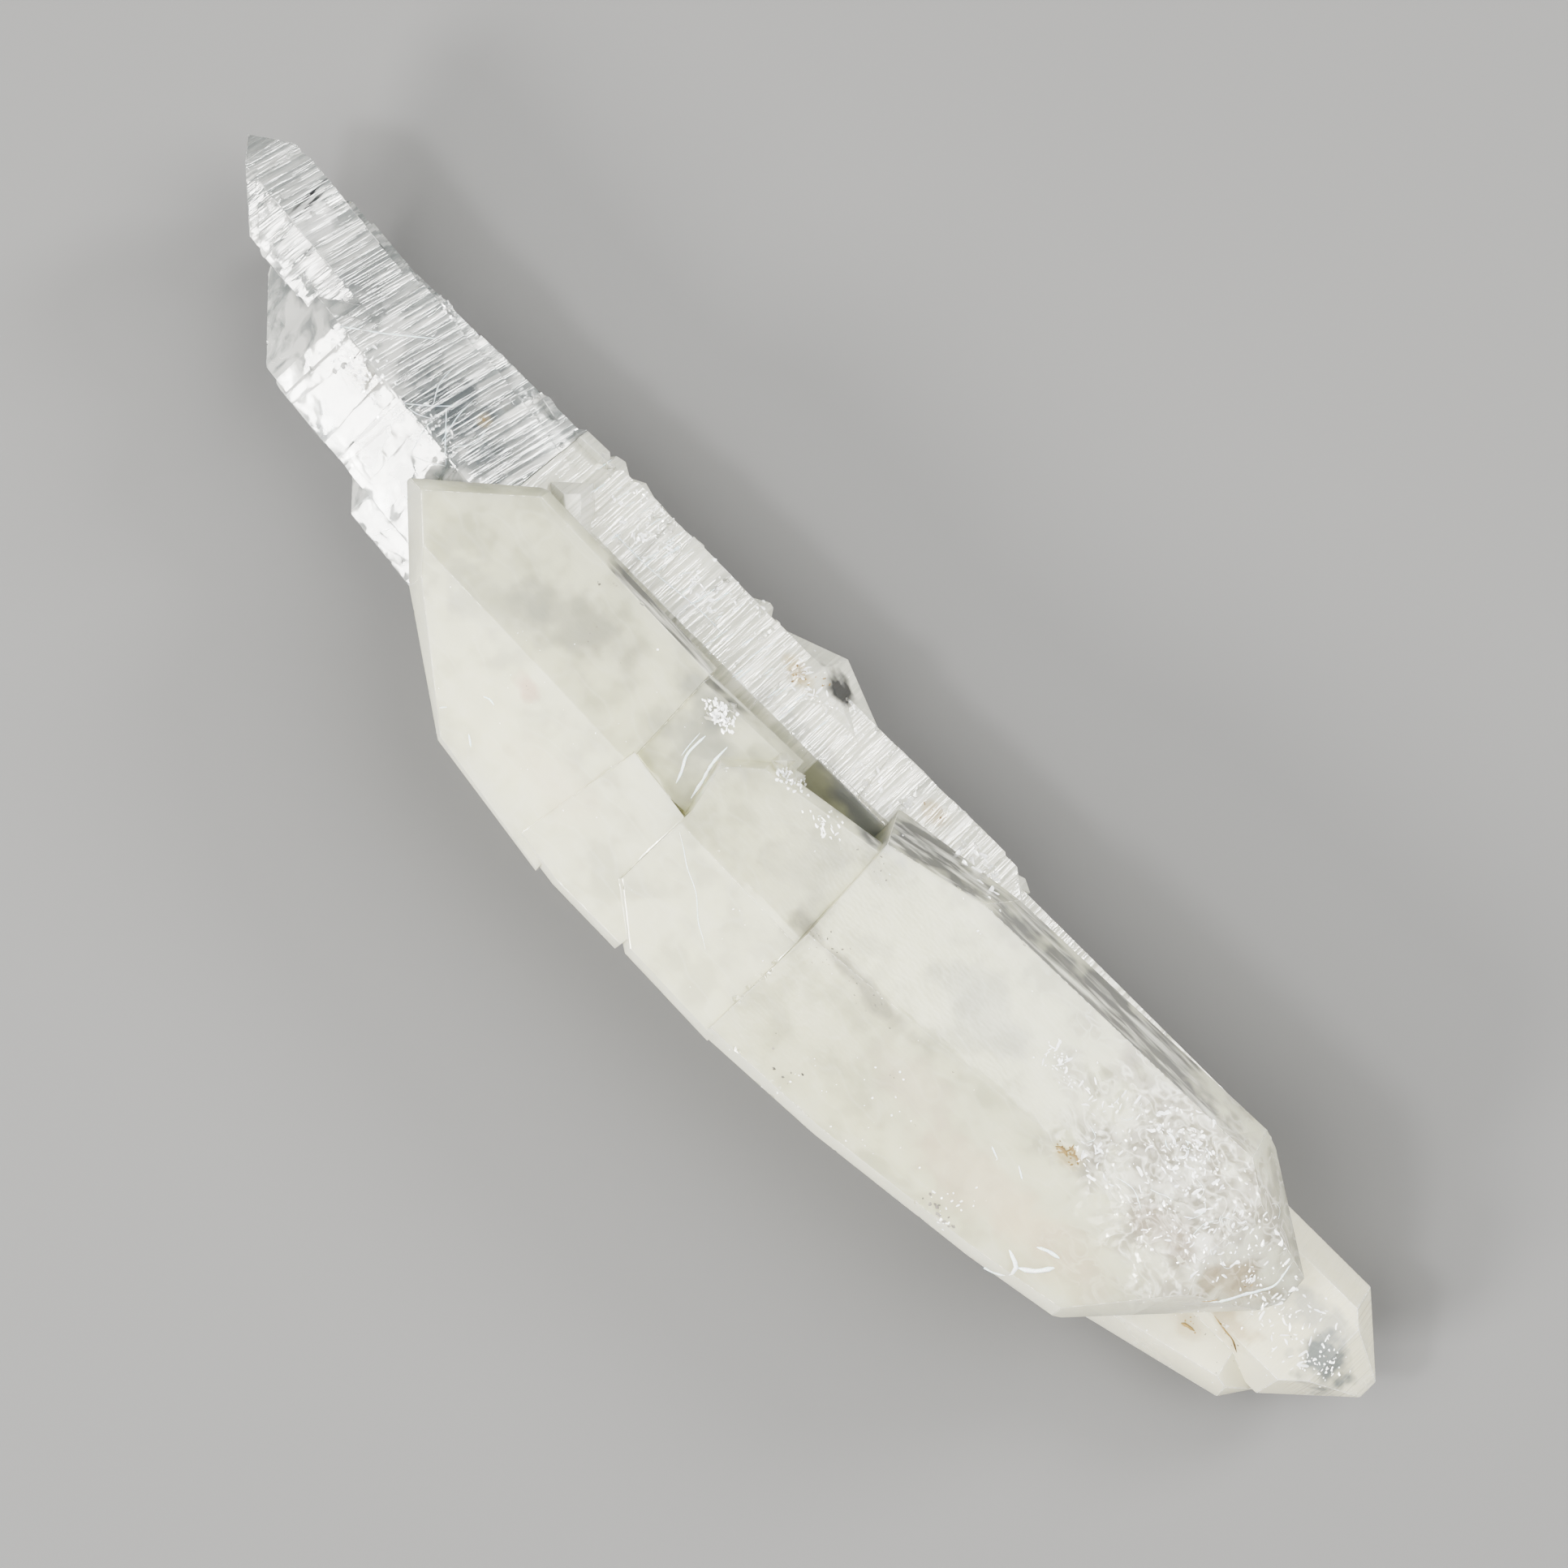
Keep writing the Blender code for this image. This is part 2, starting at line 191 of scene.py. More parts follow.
CLEAR_BLOCKS = (
    ("spire", 16, -0.9, -2.5, roof((0.15, 5.92), 2.65, 2.5, 8, 12)),
    ("spire_end", 0, 0, 0, slab((14.3, -9, -9), (30, 9, 9))),
    ("spire_block", 12, 0, -3, roof((0, 5.25), 2.75, 3.4, 5, 4)),
    ("spire_side", 13, -1.5, 3.5, roof((0, 5.12), 1.5, 2.4, 5, 5)),
    ("facet_point", 0, 0, 0, slab((9.4, -6, -9), (11.6, -2.05, 5.8))),
    ("upper_strip", 6, -0.5, 3, roof((-2, 5.2), 3.3, 3.95, 6, 5.5)),
    ("middle_strip", -2, -0.8, 4, roof((-2.3, 5.13), 3.4, 4.02, 6, 6)),
    ("lower_strip", -11, -0.9, 3.5, roof((-3, 4.5), 3.3, 4.15, 8, 7)),
    ("right_edge", 0, 0, 0, slab((-9, -9, -9), (20, -2.9, 4.5))),
    ("lower_point", 0, 0, 0, slab((-30, -9, -9), (-14.5, 0.4, 3.9))),
    ("lower_side_point", -18, 0.2, 17, slab((-8, -2.1, -9), (6, 2, 3.3))),
)
LEDGE_ROOM = 0.1        # how far a block stands out, so that it holds the growth steps too
SEAM = 0.02             # the gap between two pieces

print("clear blocks:", len(CLEAR_BLOCKS))

# %% [markdown]
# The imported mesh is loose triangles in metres. A copy of it is merged and its flat faces are made whole
# again before anything is cut. The cuts run in millimetres, because the solver keeps more digits there.

# %% Part the plates from the clear crystals
SAME_PLACE = 0.0005


def boolean(target, tool, operation):
    modifier = target.modifiers.new(operation.lower(), "BOOLEAN")
    modifier.operation = operation
    modifier.solver = "MANIFOLD"
    modifier.object = tool


def made_real(target):
    """The shape that an object's modifiers give, as a bmesh."""
    bpy.context.view_layer.update()
    shown = target.evaluated_get(bpy.context.evaluated_depsgraph_get())
    bm = bmesh.new()
    bm.from_mesh(shown.to_mesh())
    shown.to_mesh_clear()
    return bm


def cluster_copy(name):
    bm = bmesh.new()
    bm.from_mesh(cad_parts[NODE].data)
    bmesh.ops.scale(bm, vec=(1 / MM, 1 / MM, 1 / MM), verts=bm.verts[:])
    bmesh.ops.remove_doubles(bm, verts=bm.verts[:], dist=SAME_PLACE)
    return object_from(bm, name)


def open_edges(bm):
    return sum(not edge.is_manifold for edge in bm.edges)


def without(things):
    for thing in things:
        bpy.data.objects.remove(thing, do_unlink=True)


clear_tools = [block("clear_" + row[0], *row[1:], LEDGE_ROOM) for row in CLEAR_BLOCKS]
seed, *others = clear_tools
for other in others:
    boolean(seed, other, "UNION")
clear_copy = cluster_copy("clear_copy")
boolean(clear_copy, seed, "INTERSECT")
clear_bm = made_real(clear_copy)

plate_tools = [block("plate_" + row[0], *row[1:], LEDGE_ROOM + SEAM) for row in CLEAR_BLOCKS]
plate_copy = cluster_copy("plate_copy")
for tool in plate_tools:
    boolean(plate_copy, tool, "DIFFERENCE")
plate_bm = made_real(plate_copy)
without(clear_tools + plate_tools + [clear_copy, plate_copy])
print("clear faces:", len(clear_bm.faces), "open edges:", open_edges(clear_bm))
print("plate faces:", len(plate_bm.faces), "open edges:", open_edges(plate_bm))

# %% Part the spire from the strips
SPIRE_FOOT = 11.8


def room(bm, name, low, high):
    """The part of a mesh that lies between two places along the cluster."""
    body = object_from(bm.copy(), name)
    space = block(name + "_space", 0.0, 0.0, 0.0, slab((low, -9, -9), (high, 9, 9)), 0.0)
    boolean(body, space, "INTERSECT")
    result = made_real(body)
    without([body, space])
    return result


parts = {"spire": room(clear_bm, "spire_room", SPIRE_FOOT + SEAM / 2, 30),
         "strips": room(clear_bm, "strip_room", -30, SPIRE_FOOT - SEAM / 2), "plates": plate_bm}
clear_bm.free()
print("faces:", {label: len(bm.faces) for label, bm in parts.items()})

# %% Whole flat faces again, and no crumbs
def islands(bm):
    """The separate closed shells of a mesh, as lists of faces."""
    left, found = set(bm.faces), []
    while left:
        stack = [left.pop()]
        shell = list(stack)
        while stack:
            for edge in stack.pop().edges:
                for face in edge.link_faces:
                    if face in left:
                        left.remove(face)
                        stack.append(face)
                        shell.append(face)
        found.append(shell)
    return found


def drop_crumbs(bm, least):
    """Delete the shells that are shorter than this."""
    dropped = 0
    for shell in islands(bm):
        xs = [vert.co.x for face in shell for vert in face.verts]
        if max(xs) - min(xs) < least:
            bmesh.ops.delete(bm, geom=shell, context="FACES")
            dropped += 1
    return dropped


SHORTEST = 2.5          # a shell that is shorter than this is a crumb of the cuts
STILL_FLAT = math.radians(0.4)
for label, bm in parts.items():
    print(label, "shells:", len(islands(bm)), "crumbs dropped:", drop_crumbs(bm, SHORTEST))
    bmesh.ops.dissolve_limit(bm, angle_limit=STILL_FLAT, verts=bm.verts[:], edges=bm.edges[:])
    print(label, "faces:", len(bm.faces), "open edges:", open_edges(bm))

# %% [markdown]
# ## Worn edges and chips
#
# A crystal's edges are sharp, but not perfectly so, and a narrow bevel along them catches the light as
# a thin bright line. Handling also knocks chips off the edges. Each chip is bitten out by a small rough
# lump that stands half outside the edge, which leaves a curved, shell-like hollow as broken quartz has.

# %% Soften the long edges
def soften(bm, width, least_angle, least_length):
    """Bevel the long sharp edges whose corners leave room for it."""
    bm.normal_update()
    chosen = [edge for edge in bm.edges
              if edge.calc_length() > least_length
              and edge.calc_face_angle() > math.radians(least_angle)
              and all(near.calc_length() > 4 * width for vert in edge.verts for near in vert.link_edges)]
    narrow = set(bmesh.ops.bevel(bm, geom=chosen, offset=width, offset_type="OFFSET", affect="EDGES",
                                 segments=2, profile=0.5, material=-1)["faces"])
    middle = {vert for face in narrow for vert in face.verts if narrow.issuperset(vert.link_faces)}
    print("softened edges:", len(chosen), "corners along their middles:", len(middle))
    return [vert.co.copy() for vert in middle]


# The width of the bevel, and the least angle and length of an edge that gets it.
SOFT_EDGES = {"spire": (0.025, 10, 0.5), "strips": (0.03, 10, 0.5), "plates": (0.035, 8, 0.6)}
crests = {label: soften(parts[label], *row) for label, row in SOFT_EDGES.items()}


# %% Places and lumps for the chips
def edge_spots(bm, count, size, inside, dice):
    """Points on the sharp edges of a mesh, with a size for a chip at each one."""
    sharp = [edge for edge in bm.edges
             if edge.calc_length() > 0.15 and edge.calc_face_angle() > math.radians(9)
             and inside((edge.verts[0].co + edge.verts[1].co) / 2)]
    weights = [edge.calc_length() for edge in sharp]
    spots = []
    for edge in dice.choices(sharp, weights, k=count):
        share = dice.uniform(0.1, 0.9)
        point = edge.verts[0].co.lerp(edge.verts[1].co, share)
        outward = sum((face.normal for face in edge.link_faces), Vector()).normalized()
        radius = dice.uniform(*size)
        spots.append((point + outward * radius * dice.uniform(0.45, 0.75), radius))
    return spots


def lumps(name, spots, flat, dice):
    """Rough little lumps in one mesh, one at each spot."""
    bm = bmesh.new()
    for point, radius in spots:
        verts = bmesh.ops.create_icosphere(bm, subdivisions=1, radius=1.0)["verts"]
        for vert in verts:
            vert.co *= dice.uniform(0.82, 1.12)
        turn = Matrix.Rotation(dice.uniform(0, math.tau), 4, Vector([dice.gauss(0, 1) for _ in range(3)]))
        size = Matrix.Diagonal((radius * dice.uniform(0.9, 1.6), radius, radius * flat, 1))
        bmesh.ops.transform(bm, matrix=Matrix.Translation(point) @ turn @ size, verts=verts)
    return object_from(bm, name)


# %% Knock chips off
def chipped(bm, name, flat, rows, dice):
    """The mesh with a lump taken away at each spot. A row is a count, a range of sizes and a place."""
    spots = [spot for row in rows for spot in edge_spots(bm, *row, dice)]
    body = object_from(bm, name)
    tool = lumps(name + "_tool", spots, flat, dice)
    boolean(body, tool, "DIFFERENCE")
    result = made_real(body)
    without([body, tool])
    return result


def upper_side(point):
    return point.z > 3.0


def lower_rim(point):
    """Along the left rim of the lower plate, where knocks have left a row of notches."""
    return point.y > 2.3 and -14.5 < point.x < -3.5 and point.z > 5.2


def outer_rim(point):
    """Along the right rim of the strips, which is broken all the way."""
    return point.z > 2.0 and point.y < -3.3 and -12.0 < point.x < 11.0


# How flat the lumps are, and for each row of chips their count, their sizes and their place.
CHIPS = {
    "spire": (0.7, [(60, (0.05, 0.17), upper_side)]),
    "strips": (0.7, [(60, (0.06, 0.18), upper_side), (90, (0.08, 0.24), outer_rim)]),
    "plates": (0.6, [(60, (0.05, 0.14), upper_side), (34, (0.07, 0.2), lower_rim)]),
}
SHORTEST_LEFT = 2.0
dice = random.Random(41)
before = {}
for label, (flat, rows) in CHIPS.items():
    parts[label].normal_update()
    before[label] = [vert.co.copy() for vert in parts[label].verts]
    parts[label] = chipped(parts[label], label + "_chips", flat, rows, dice)
    drop_crumbs(parts[label], SHORTEST_LEFT)
    print(label, "faces:", len(parts[label].faces), "open edges:", open_edges(parts[label]))


# %% Write the wear on the corners
def near(points, place):
    away = points.find(place)[2]
    return away is not None and away < SAME_PLACE


def tree_of(places):
    points = KDTree(len(places))
    for index, place in enumerate(places):
        points.insert(place, index)
    points.balance()
    return points


def mark_wear(bm, crests, before):
    """Set an attribute to 1 on the crests of the softened edges and to 0.7 inside the chips."""
    crests, before = tree_of(crests), tree_of(before)
    wear = bm.verts.layers.float.new("wear")
    fresh = {vert for vert in bm.verts if not near(before, vert.co)}
    for vert in bm.verts:
        inside = all(corner in fresh for face in vert.link_faces for corner in face.verts)
        vert[wear] = 1.0 if near(crests, vert.co) else 0.7 if inside else 0.0
    return sum(vert[wear] > 0 for vert in bm.verts)


for label, bm in parts.items():
    print(label, "worn corners:", mark_wear(bm, crests[label], before[label]))

# %% [markdown]
# ## Growth lines
#
# The prism faces of quartz carry fine lines straight across the crystal, left by the edges of its
# growth layers. They are real steps, so they are cut here as one: a comb of planes crosses each face,
# and each line of new corners is lifted or sunk by a few hundredths of a millimetre.

# %% Comb and lift
def direction(heading):
    return Vector((math.cos(math.radians(heading)), math.sin(math.radians(heading)), 0))


def comb(bm, heading, first, last, pitch, chosen, dice):
    """Cut the chosen faces by planes square to a heading, at uneven steps."""
    axis, place, cuts = direction(heading), first, []
    faces = [face for face in bm.faces if chosen(face)]
    geometry = list({part for face in faces for part in (face, *face.edges, *face.verts)})
    while place < last:
        geometry = bmesh.ops.bisect_plane(bm, geom=geometry, plane_co=axis * place, plane_no=axis,
                                          dist=SAME_PLACE)["geom"]
        cuts.append(place)
        place += dice.uniform(*pitch)
    return cuts


def lift_lines(bm, heading, cuts, height, chosen, dice):
    """Move the corners on each cut up or down together, more or less along the line."""
    axis = direction(heading)
    levels = [dice.uniform(-1, 1) for _ in cuts]
    bm.normal_update()
    verts = {vert for face in bm.faces if chosen(face) for vert in face.verts}
    moves = []
    for vert in verts:
        where = vert.co.dot(axis)
        nearest = min(range(len(cuts)), key=lambda index: abs(cuts[index] - where))
        if abs(cuts[nearest] - where) < 0.02:
            fade = 0.45 + 0.55 * noise.noise(Vector((vert.co.x * 0.4, vert.co.y * 1.1, 7.0)))
            moves.append((vert, vert.normal * height * levels[nearest] * fade))
    for vert, move in moves:
        vert.co += move
    return len(moves)


def leaning(low_x, high_x, low_y, high_y, lean, least_z):
    """A test for faces that lie in this box and lean to this side: -1 to the right, 1 to the left."""
    def test(face):
        centre = face.calc_center_median()
        return (low_x < centre.x < high_x and low_y < centre.y < high_y and centre.z > least_z
                and face.normal.z > 0.5 and face.normal.y * lean > 0.2)
    return test


# The piece, the heading, the first and last place along it, pitch, height, and the faces that it crosses.
GROWTH_LINES = (
    ("spire", -8.0, 11.6, 24.8, (0.08, 0.24), 0.03, leaning(11.8, 25, -4.2, -0.3, -1, 3.4)),
    ("strips", 2.0, 0.2, 11.6, (0.06, 0.2), 0.02, leaning(0.6, 11.8, -4.6, -2.2, -1, 3.6)),
    ("strips", 4.0, -7.2, 0.2, (0.12, 0.35), 0.016, leaning(-7.4, 0.8, -5.3, -2.6, -1, 3.4)),
)
for label, heading, first, last, pitch, height, chosen in GROWTH_LINES:
    bm = parts[label]
    bm.normal_update()
    cuts = comb(bm, heading, first, last, pitch, chosen, dice)
    comb(bm, heading + 90, -6.0, 4.0, (0.35, 0.6), chosen, dice)
    moved = lift_lines(bm, heading, cuts, height, chosen, dice)
    print("lines:", len(cuts), "corners moved:", moved, "faces:", len(bm.faces), "open:", open_edges(bm))

# %% [markdown]
# The other side of the spire is rumpled like foil. Its faces are cut into a fine grid, and every corner
# of the grid is moved in or out along its normal by two sizes of noise. The noise is bent by a second
# one, which starts from the clock unless it gets a seed, so it gets one: the shape is then always the same.

# %% Rumpled faces of the spire
def rumpled(face):
    centre = face.calc_center_median()
    return face.normal.z > 0.4 and face.normal.y > 0.15 and centre.x > 12.2 and centre.z > 3.2


GRID = (0.2, 0.26)      # the range of the grid's steps
noise.seed_set(5)
spire_bm = parts["spire"]
spire_bm.normal_update()
comb(spire_bm, 12.0, 11.0, 26.0, GRID, rumpled, dice)
comb(spire_bm, 102.0, -8.0, 4.0, GRID, rumpled, dice)
spire_bm.normal_update()
rumpled_verts = {vert for face in spire_bm.faces if rumpled(face) for vert in face.verts}
moves = []
for vert in rumpled_verts:
    bent = noise.noise_vector(vert.co * 0.6) * 1.5
    large = noise.noise(Vector((vert.co.x * 0.8, vert.co.y * 0.9, 1.0)) + bent)
    small = 1 - abs(noise.noise(Vector((vert.co.x * 2.0, vert.co.y * 1.6, 6.0)) + bent)) * 2
    moves.append((vert, vert.normal * (0.045 * large + 0.03 * (small - 0.6))))
for vert, move in moves:
    vert.co += move
print("rumpled corners:", len(moves), "faces:", len(spire_bm.faces), "open:", open_edges(spire_bm))

# %% [markdown]
# The plates' wide faces look flat, yet each one is faintly wavy, and near the lower tip the healed
# cracks inside make it uneven. These faces are cut into a fine grid, and the grid's corners are moved by
# noise, strongly near the tip and hardly at all elsewhere.

# %% Uneven plate faces
TAIL = Vector((-16.9, -2.2, 0))


def plate_top(face):
    return face.normal.z > 0.86 and face.calc_center_median().z > 5.6


def near_tail(point):
    """1 in the middle of the cracked tip, 0 well away from it."""
    reach = Vector(((point.x - TAIL.x) / 4.9, (point.y - TAIL.y) / 2.9, 0)).length
    ragged = reach + 0.25 * noise.noise(Vector((point.x * 0.9, point.y * 0.9, 3.0)))
    return max(0.0, min(1.0, (1.05 - ragged) * 2.5))


def tail_top(face):
    centre = face.calc_center_median()
    return face.normal.z > 0.6 and centre.z > 5.4 and near_tail(centre) > 0.02


def band_top(face):
    centre = face.calc_center_median()
    return plate_top(face) and 1.0 < centre.x < 4.3 and centre.y > -1.6


def plate_relief(point):
    """How far a point of the plates' faces stands proud, in millimetres."""
    slow = 0.012 * noise.noise(Vector((point.x * 0.35, point.y * 0.5, 1.0)))
    ripple = 0.003 * noise.noise(Vector((point.x * 2.2, point.y * 0.35, 5.0)))
    tail = near_tail(point)
    if tail > 0:
        bent = noise.noise_vector(Vector((point.x * 0.8, point.y * 0.8, 2.0))) * 1.2
        crease = 1 - abs(noise.noise(Vector((point.x * 1.3, point.y * 1.6, 9.0)) + bent)) * 2
        fine = 1 - abs(noise.noise(Vector((point.x * 3.4, point.y * 3.9, 4.0)) + bent)) * 2
        ripple += tail * (0.07 * (crease - 0.5) + 0.035 * (fine - 0.5))
    return slow + ripple


COARSE, FINE = (0.25, 0.3), (0.09, 0.12)
steady = random.Random(5)
plate_bm = parts["plates"]
plate_bm.normal_update()
comb(plate_bm, 0.0, -21.5, 14.2, COARSE, plate_top, steady)
comb(plate_bm, 90.0, -5.2, 5.6, COARSE, plate_top, steady)
comb(plate_bm, -20.0, -24.0, -9.0, FINE, tail_top, steady)
comb(plate_bm, 70.0, -10.0, 5.0, FINE, tail_top, steady)
band_cuts = comb(plate_bm, -4.0, 1.2, 4.0, (0.06, 0.12), band_top, steady)
plate_bm.normal_update()
top_verts = {vert for face in plate_bm.faces if plate_top(face) or tail_top(face) for vert in face.verts}
for vert in top_verts:
    vert.co.z += plate_relief(vert.co)
print("band:", lift_lines(plate_bm, -4.0, band_cuts, 0.006, band_top, steady))
print("plate corners moved:", len(top_verts), "faces:", len(plate_bm.faces), "open:", open_edges(plate_bm))


# %% Mark the flanks and the rims of the plates
def mark_sides(bm):
    """Set a face attribute to 1 on the steep right flanks and to -1 on the steep left rims."""
    side = bm.faces.layers.float.new("side")
    bm.normal_update()
    for face in bm.faces:
        steep = face.normal.z < 0.82 and face.calc_center_median().z > 3.0
        face[side] = (face.normal.y < -0.35) - (face.normal.y > 0.35) if steep else 0
    return sum(face[side] > 0 for face in bm.faces), sum(face[side] < 0 for face in bm.faces)


print("flank and rim faces:", mark_sides(plate_bm))

# %% [markdown]
# ## Threads, wisps and healed cracks
#
# Faden means thread in German. While the crystal grew it kept cracking across the middle, and each crack
# healed around trapped fluid, which left white threads from side to side. Finer healed cracks crowd the
# lower tip. Each thread is a curve with a round bevel that tapers at both ends and lies half sunk in the
# face above it. The curves become one mesh before they are used.

# %% Find the surface
trees = [BVHTree.FromBMesh(bm) for bm in parts.values()]


def on_top(x, y):
    """The highest point of the cluster at this place, and the way its face looks."""
    hits = [tree.ray_cast(Vector((x, y, 20.0)), Vector((0, 0, -1)))[:2] for tree in trees]
    return max((hit for hit in hits if hit[0] is not None), key=lambda hit: hit[0].z,
               default=(None, None))


print("height of the middle, mm:", round(on_top(0, 0)[0].z, 2))


# %% Lay threads on the surface
def smooth_path(spots, step):
    """Points at even steps along a smooth curve through these spots."""
    spots = [Vector(spot) for spot in spots]
    ends = [spots[0] * 2 - spots[1]] + spots + [spots[-1] * 2 - spots[-2]]
    path = []
    for index in range(1, len(ends) - 2):
        before, start, end, after = ends[index - 1:index + 3]
        count = max(2, round((end - start).length / step))
        for part in range(count):
            t = part / count
            slope, bend = end - before, 2 * before - 5 * start + 4 * end - after
            twist = 3 * start - before - 3 * end + after
            path.append(0.5 * (2 * start + slope * t + bend * t * t + twist * t ** 3))
    return path + [spots[-1]]


def strands(name, paths, sink, dice):
    """One mesh of tapered threads. Each path is its spots and its thickest radius, in millimetres."""
    curve = bpy.data.curves.new(name, "CURVE")
    curve.dimensions = "3D"
    curve.bevel_depth = 1.0
    curve.bevel_resolution = 1
    curve.use_fill_caps = True
    for spots, radius in paths:
        path = smooth_path(spots, max(0.05, radius * 2.5))
        points = [(on_top(*spot), share / (len(path) - 1)) for share, spot in enumerate(path)]
        points = [(hit[0] - hit[1] * radius * sink, share) for hit, share in points if hit[0] is not None]
        if len(points) < 3:
            continue
        spline = curve.splines.new("POLY")
        spline.points.add(len(points) - 1)
        for slot, (place, share) in zip(spline.points, points):
            slot.co = (*place, 1)
            taper = min(1.0, 4.0 * min(share, 1 - share) + 0.25)
            slot.radius = radius * taper * dice.uniform(0.75, 1.15)
    thread = bpy.data.objects.new(name, curve)
    scene.collection.objects.link(thread)
    bpy.context.view_layer.update()
    bm = bmesh.new()
    mesh = bpy.data.meshes.new_from_object(thread.evaluated_get(bpy.context.evaluated_depsgraph_get()))
    bm.from_mesh(mesh)
    bpy.data.meshes.remove(mesh)
    bpy.data.objects.remove(thread)
    bmesh.ops.remove_doubles(bm, verts=bm.verts[:], dist=SAME_PLACE)
    bmesh.ops.recalc_face_normals(bm, faces=bm.faces[:])
    return bm


# %% Routes of the threads and of the finest cracks
# Each thread is its spots and its thickest radius.
THREADS = (
    (((2.69, -0.9), (2.68, -0.38), (2.62, -0.02), (2.39, 0.35), (2.21, 0.76)), 0.055),
    (((2.03, -1.22), (2, -0.72), (1.93, -0.34), (1.79, 0.04), (1.68, 0.45), (1.59, 0.78)), 0.06),
    (((2.86, -0.8), (2.8, -0.3), (2.72, 0.1)), 0.018),
    (((1.28, 1.48), (0.68, 1.8), (0.17, 2.1), (-0.52, 2.39), (-1.18, 2.89), (-1.61, 3.11), (-2.03, 3.34)),
     0.018),
    (((7.87, 3.24), (7.66, 3.14), (7.42, 3.16)), 0.035),
    (((7.36, 4.26), (7.17, 4.37), (6.97, 4.51)), 0.04),
    (((8.48, 4.43), (8.31, 4.2)), 0.035),
    (((-14.26, 2.49), (-14.85, 2.7), (-14.89, 3.12)), 0.085),
    (((-14.85, 2.7), (-15.28, 2.36), (-15.59, 1.84)), 0.095),
    (((-14.74, 1.88), (-15.06, 1.69), (-15.49, 1.57)), 0.07),
    (((-14.13, 3.45), (-14.57, 3.31), (-14.86, 3.09)), 0.06),
    (((-19.11, -0.55), (-19.6, -1.2), (-19.83, -1.64), (-20.1, -2.1), (-20.33, -2.62), (-20.13, -3.5)), 0.05),
    (((-12.6, 0.65), (-13.03, 0.87)), 0.03),
    (((-11.68, 0.87), (-12.12, 1.01)), 0.03),
    (((18.86, -0.7), (17.8, -1.6), (16.61, -2.76)), 0.03),
    (((9.5, -2.76), (7.49, -2.87), (5.65, -3.15), (4.3, -3.22)), 0.02),
)
CRACK_NET = (
    ((15.9, -0.6), (15.2, -1.3), (14.7, -1.9)), ((14.96, -1.6), (14.3, -1), (13.63, -0.41)),
    ((13.63, -0.41), (14.1, -0.1), (14.6, 0.15)), ((14.6, 0.15), (14.8, -0.5), (14.89, -1.06)),
    ((14.89, -1.06), (15.3, -0.8), (15.75, -0.71)), ((14.2, -0.7), (14.5, -1.6), (14.6, -2.3)),
    ((13.9, -0.9), (13.6, -1.5), (13.7, -2.1)), ((15.2, -1.3), (15.6, -1.9), (15.7, -2.5)),
)
print("threads:", len(THREADS), "fine cracks:", len(CRACK_NET))


# %% White threads and wisps
def swirls(count, centre, reach, squeeze, radius, dice):
    """Short arcs about a centre, as the healed cracks of the tip run."""
    arcs = []
    for _ in range(count):
        out = reach * dice.uniform(0.08, 1.0) ** 0.7
        start = dice.uniform(0, math.tau)
        span = dice.uniform(0.25, 0.8) / (0.35 + out / reach)
        wobble = dice.uniform(-0.25, 0.25) * out
        spots = []
        for part in range(4):
            angle = start + span * part / 3
            length = out + wobble * math.sin(math.pi * part / 3) + dice.uniform(-0.06, 0.06)
            spots.append((centre[0] + math.cos(angle) * length,
                          centre[1] + math.sin(angle) * length * squeeze))
        arcs.append((spots, dice.uniform(*radius)))
    return arcs


def cross_streaks(count, dice):
    """Short thin streaks across the strips beside the plates."""
    streaks = []
    for _ in range(count):
        x, y, half = dice.uniform(0.6, 11.0), dice.uniform(-4.1, -2.7), dice.uniform(0.12, 0.4)
        streaks.append((((x - 0.03, y - half), (x, y), (x + 0.02, y + half)), dice.uniform(0.012, 0.03)))
    return streaks


# How many arcs, their centre, their reach, how flat they lie, and the range of their radii.
SWIRLS = (
    (7, (-15.6, -2.2), 3.0, 0.62, (0.01, 0.018)),
    (5, (-15.3, -3.3), 1.0, 0.6, (0.01, 0.02)),
    (4, (-18.6, -2.7), 1.6, 0.8, (0.01, 0.018)),
)
SUNK = 0.35             # how deep a thread lies, as a share of its radius
dice = random.Random(83)
wisps = list(THREADS) + cross_streaks(46, random.Random(19))
wisps += [(spots, dice.uniform(0.01, 0.017)) for spots in CRACK_NET]
for row in SWIRLS:
    wisps += swirls(*row, dice)
thread_bm = strands("white_threads", wisps, SUNK, dice)
print("threads, streaks and arcs:", len(wisps), "faces:", len(thread_bm.faces))


# %% Curved slivers
def join(whole, bm):
    """Move a small mesh into a larger one."""
    mesh = bpy.data.meshes.new("joined")
    bm.to_mesh(mesh)
    bm.free()
    whole.from_mesh(mesh)
    bpy.data.meshes.remove(mesh)


